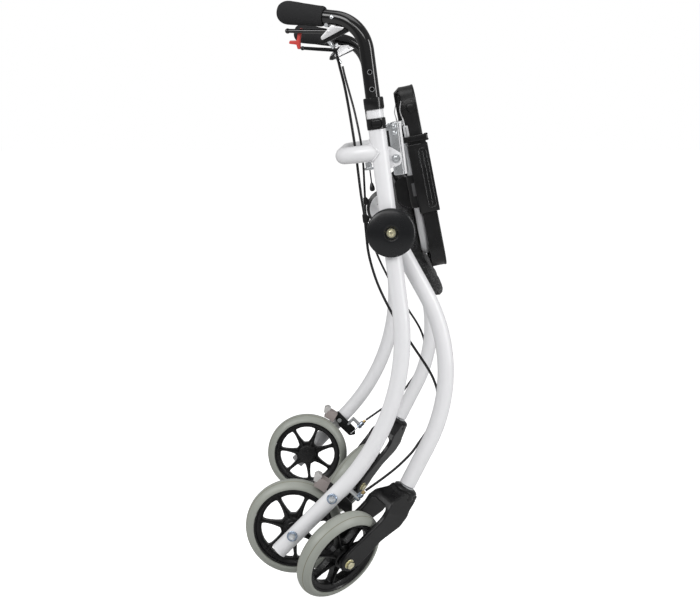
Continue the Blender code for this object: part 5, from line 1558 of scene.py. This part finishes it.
# %% Sleeves, wings and the label
WING = [(-8.5, -38), (4, -31.5), (16, -34), (28.5, -30.5), (28.0, -80), (10, -83), (-4, -76), (-9.0, -68)]
SLEEVE = [(8.4, -31), (9.4, -32), (9.8, -44), (9.3, -56), (9.9, -68), (9.4, -79), (8.4, -80.5), (7.2, -80.5),
          (7.2, -31)]
for word, side in SIDES:
    sleeve = turned(SLEEVE, (20, side * 182, 0), (0, 0, 1), 40)
    piece(f"hoop_sleeve_{word}", TRAY, "tray", MESH_CLOTH, [sleeve], crease=80)
    wing = plate(rounded(WING, 3, 4), *span(side, 171.0, 172.6), 0.5)
    stitch_line = [(x * 0.92 + 0.8, side * 172.7, z + 1.6) for x, z in WING[4:]]
    piece(f"pouch_wing_{word}", TRAY, "bag", MESH_CLOTH, [wing], crease=80)
    piece(f"wing_stitches_{word}", TRAY, "bag", LABEL_CLOTH,
          [beads(stitch_line, 3.2, (1.1, 0.35, 0.35))])
tag = block((16.0, -192.6, -63), (26.0, -191.4, -43), 0.5)
piece("woven_tag", TRAY, "tray", LABEL_CLOTH, [tag], crease=80)
print("sleeves and wings on both sides")

# %% [markdown]
# ## Cable clips and fold pull
# A small black clip holds each cable beside the hub. Under the bow's right end a screw holds a tab with a
# short cord and a drop-shaped knob, which is pulled to release the folded legs.

# %% Cable clips
CABLE_CLIP = rounded([(-42.8, 22.5), (-37.0, 24.0), (-31.0, 18.0), (-31.5, 12.0), (-36.0, 9.0),
                      (-41.0, 9.5)], 2.4, 5)
CLIP_Y = {"right": 205.5, "left": 211.0}
for word, side in SIDES:
    clip = plate(CABLE_CLIP, *span(side, CLIP_Y[word] - 3.6, CLIP_Y[word] + 3.6), 1.4)
    piece(f"cable_clip_{word}", HUB, "frame", MOULDED_BLACK, [clip])
print("cable clips at", CLIP_Y, "mm from the mid-plane")

# %% Bow screw, tab and fold pull
SCREW_X, SCREW_Y, PULL_X, PULL_Y = -19, -247.5, -18, -232
sleeve = [(0, 97.5), (4.2, 97.5), (4.5, 97.8), (4.5, 104.6), (4.2, 105), (0, 105)]
sleeve = turned(sleeve, (SCREW_X, SCREW_Y, 0), (0, 0, 1), 32)
nut = aimed(hex_head(6.5, 3.6), (SCREW_X, SCREW_Y, 97.4), (0, 0, -1))
eye = turned([(0, 95), (1.5, 95), (1.5, 105), (0, 105)], (PULL_X, PULL_Y, 0), (0, 0, 1), 20)
tab = carved(block((-22.5, -248, 100.0), (-13.5, -229, 101.4), 0.5), eye)
piece("bow_screw_and_tab", UPRIGHT, "frame", BRIGHT_ZINC, [sleeve, *nut, tab], ["bow_screw"])
DROP = [(0, 110.6), (0.6, 110.5), (1.0, 110.0), (1.0, 74.6), (1.6, 74.0), (2.3, 72.6), (3.3, 69.0),
        (3.9, 66.0), (3.7, 63.6), (2.6, 62.0), (1.2, 61.5), (0, 61.4)]
pull = turned(DROP, (PULL_X, PULL_Y, 0), (0, 0, 1), 28)
piece("release_pull", UPRIGHT, "fold_pull", MOULDED_BLACK, [pull], ["fold_pull"])
print("fold pull hangs", round(DROP[0][1] - DROP[-1][1]), "mm down")

# %% [markdown]
# ## Floor, world and lamps
# The photograph has a plain white ground. The floor is white and shows a soft shadow, and the world is white
# to the camera, while it lights the object at a lower level. A wide lamp stands high at the left, and a tall
# one at the right shows on the black tubes as one long upright highlight.

# %% Floor
FLOOR_GLOW, FLOOR_HALF = 0.85, 30
FLOOR_WHITE = bpy.data.materials.new("floor_white")
FLOOR_WHITE.use_nodes = True
ground = FLOOR_WHITE.node_tree
shader = ground.nodes["Principled BSDF"]
shader.inputs["Base Color"].default_value = (0.70, 0.70, 0.70, 1)
shader.inputs["Roughness"].default_value = 0.9
shader.inputs["Specular IOR Level"].default_value = 0.0
seen = add(ground, "ShaderNodeLightPath")
glow = add(ground, "ShaderNodeMath", {0: seen.outputs["Is Camera Ray"], 1: FLOOR_GLOW}, operation="MULTIPLY")
shader.inputs["Emission Color"].default_value = (1, 1, 1, 1)
ground.links.new(glow.outputs[0], shader.inputs["Emission Strength"])
bm = bmesh.new()
bmesh.ops.create_grid(bm, x_segments=8, y_segments=8, size=FLOOR_HALF)
floor_mesh = mesh_of(bm)
floor_mesh.materials.append(FLOOR_WHITE)
floor = bpy.data.objects.new("studio_floor", floor_mesh)
floor.location.z = -0.0005
bpy.context.scene.collection.objects.link(floor)
print("floor is", 2 * FLOOR_HALF, "m wide")

# %% World
WORLD_LIGHT = 0.32
world = bpy.data.worlds.new("white_studio")
bpy.context.scene.world = world
world.use_nodes = True
sky = world.node_tree
sky.nodes.clear()
path = add(sky, "ShaderNodeLightPath")
seen = add(sky, "ShaderNodeMath", {0: path.outputs["Is Camera Ray"], 1: path.outputs["Is Transmission Ray"]},
           operation="MAXIMUM")
level = add(sky, "ShaderNodeMapRange", {"Value": seen.outputs[0], 3: WORLD_LIGHT, 4: 1.0})
white = add(sky, "ShaderNodeBackground", {"Color": (1, 1, 1, 1), "Strength": level.outputs[0]})
add(sky, "ShaderNodeOutputWorld", {"Surface": white.outputs[0]})
print("the world lights the object at", WORLD_LIGHT)

# %% Lamps
def lamp(name, place, target, size, watts):
    """Soft rectangular lamp that looks at a point."""
    data = bpy.data.lights.new(name, "AREA")
    data.shape, data.size, data.size_y, data.energy = "RECTANGLE", size[0], size[1], watts
    obj = bpy.data.objects.new(name, data)
    bpy.context.scene.collection.objects.link(obj)
    obj.location = place
    obj.rotation_euler = (Vector(target) - Vector(place)).to_track_quat("-Z", "Y").to_euler()


lamp("wide_left", (-1.55, -1.65, 1.95), (0, 0, 0.55), (1.8, 1.1), 36)
lamp("strip_right", (1.65, -0.95, 0.95), (0, 0, 0.65), (0.40, 1.6), 17)
lamp("front_high", (-0.1, -2.15, 1.75), (0, 0, 0.75), (1.3, 0.30), 6)
lamp("overhead", (0.2, -0.3, 2.4), (0, 0, 0.6), (1.2, 1.2), 8)
bpy.context.scene.view_settings.view_transform = "Standard"
print("four lamps")
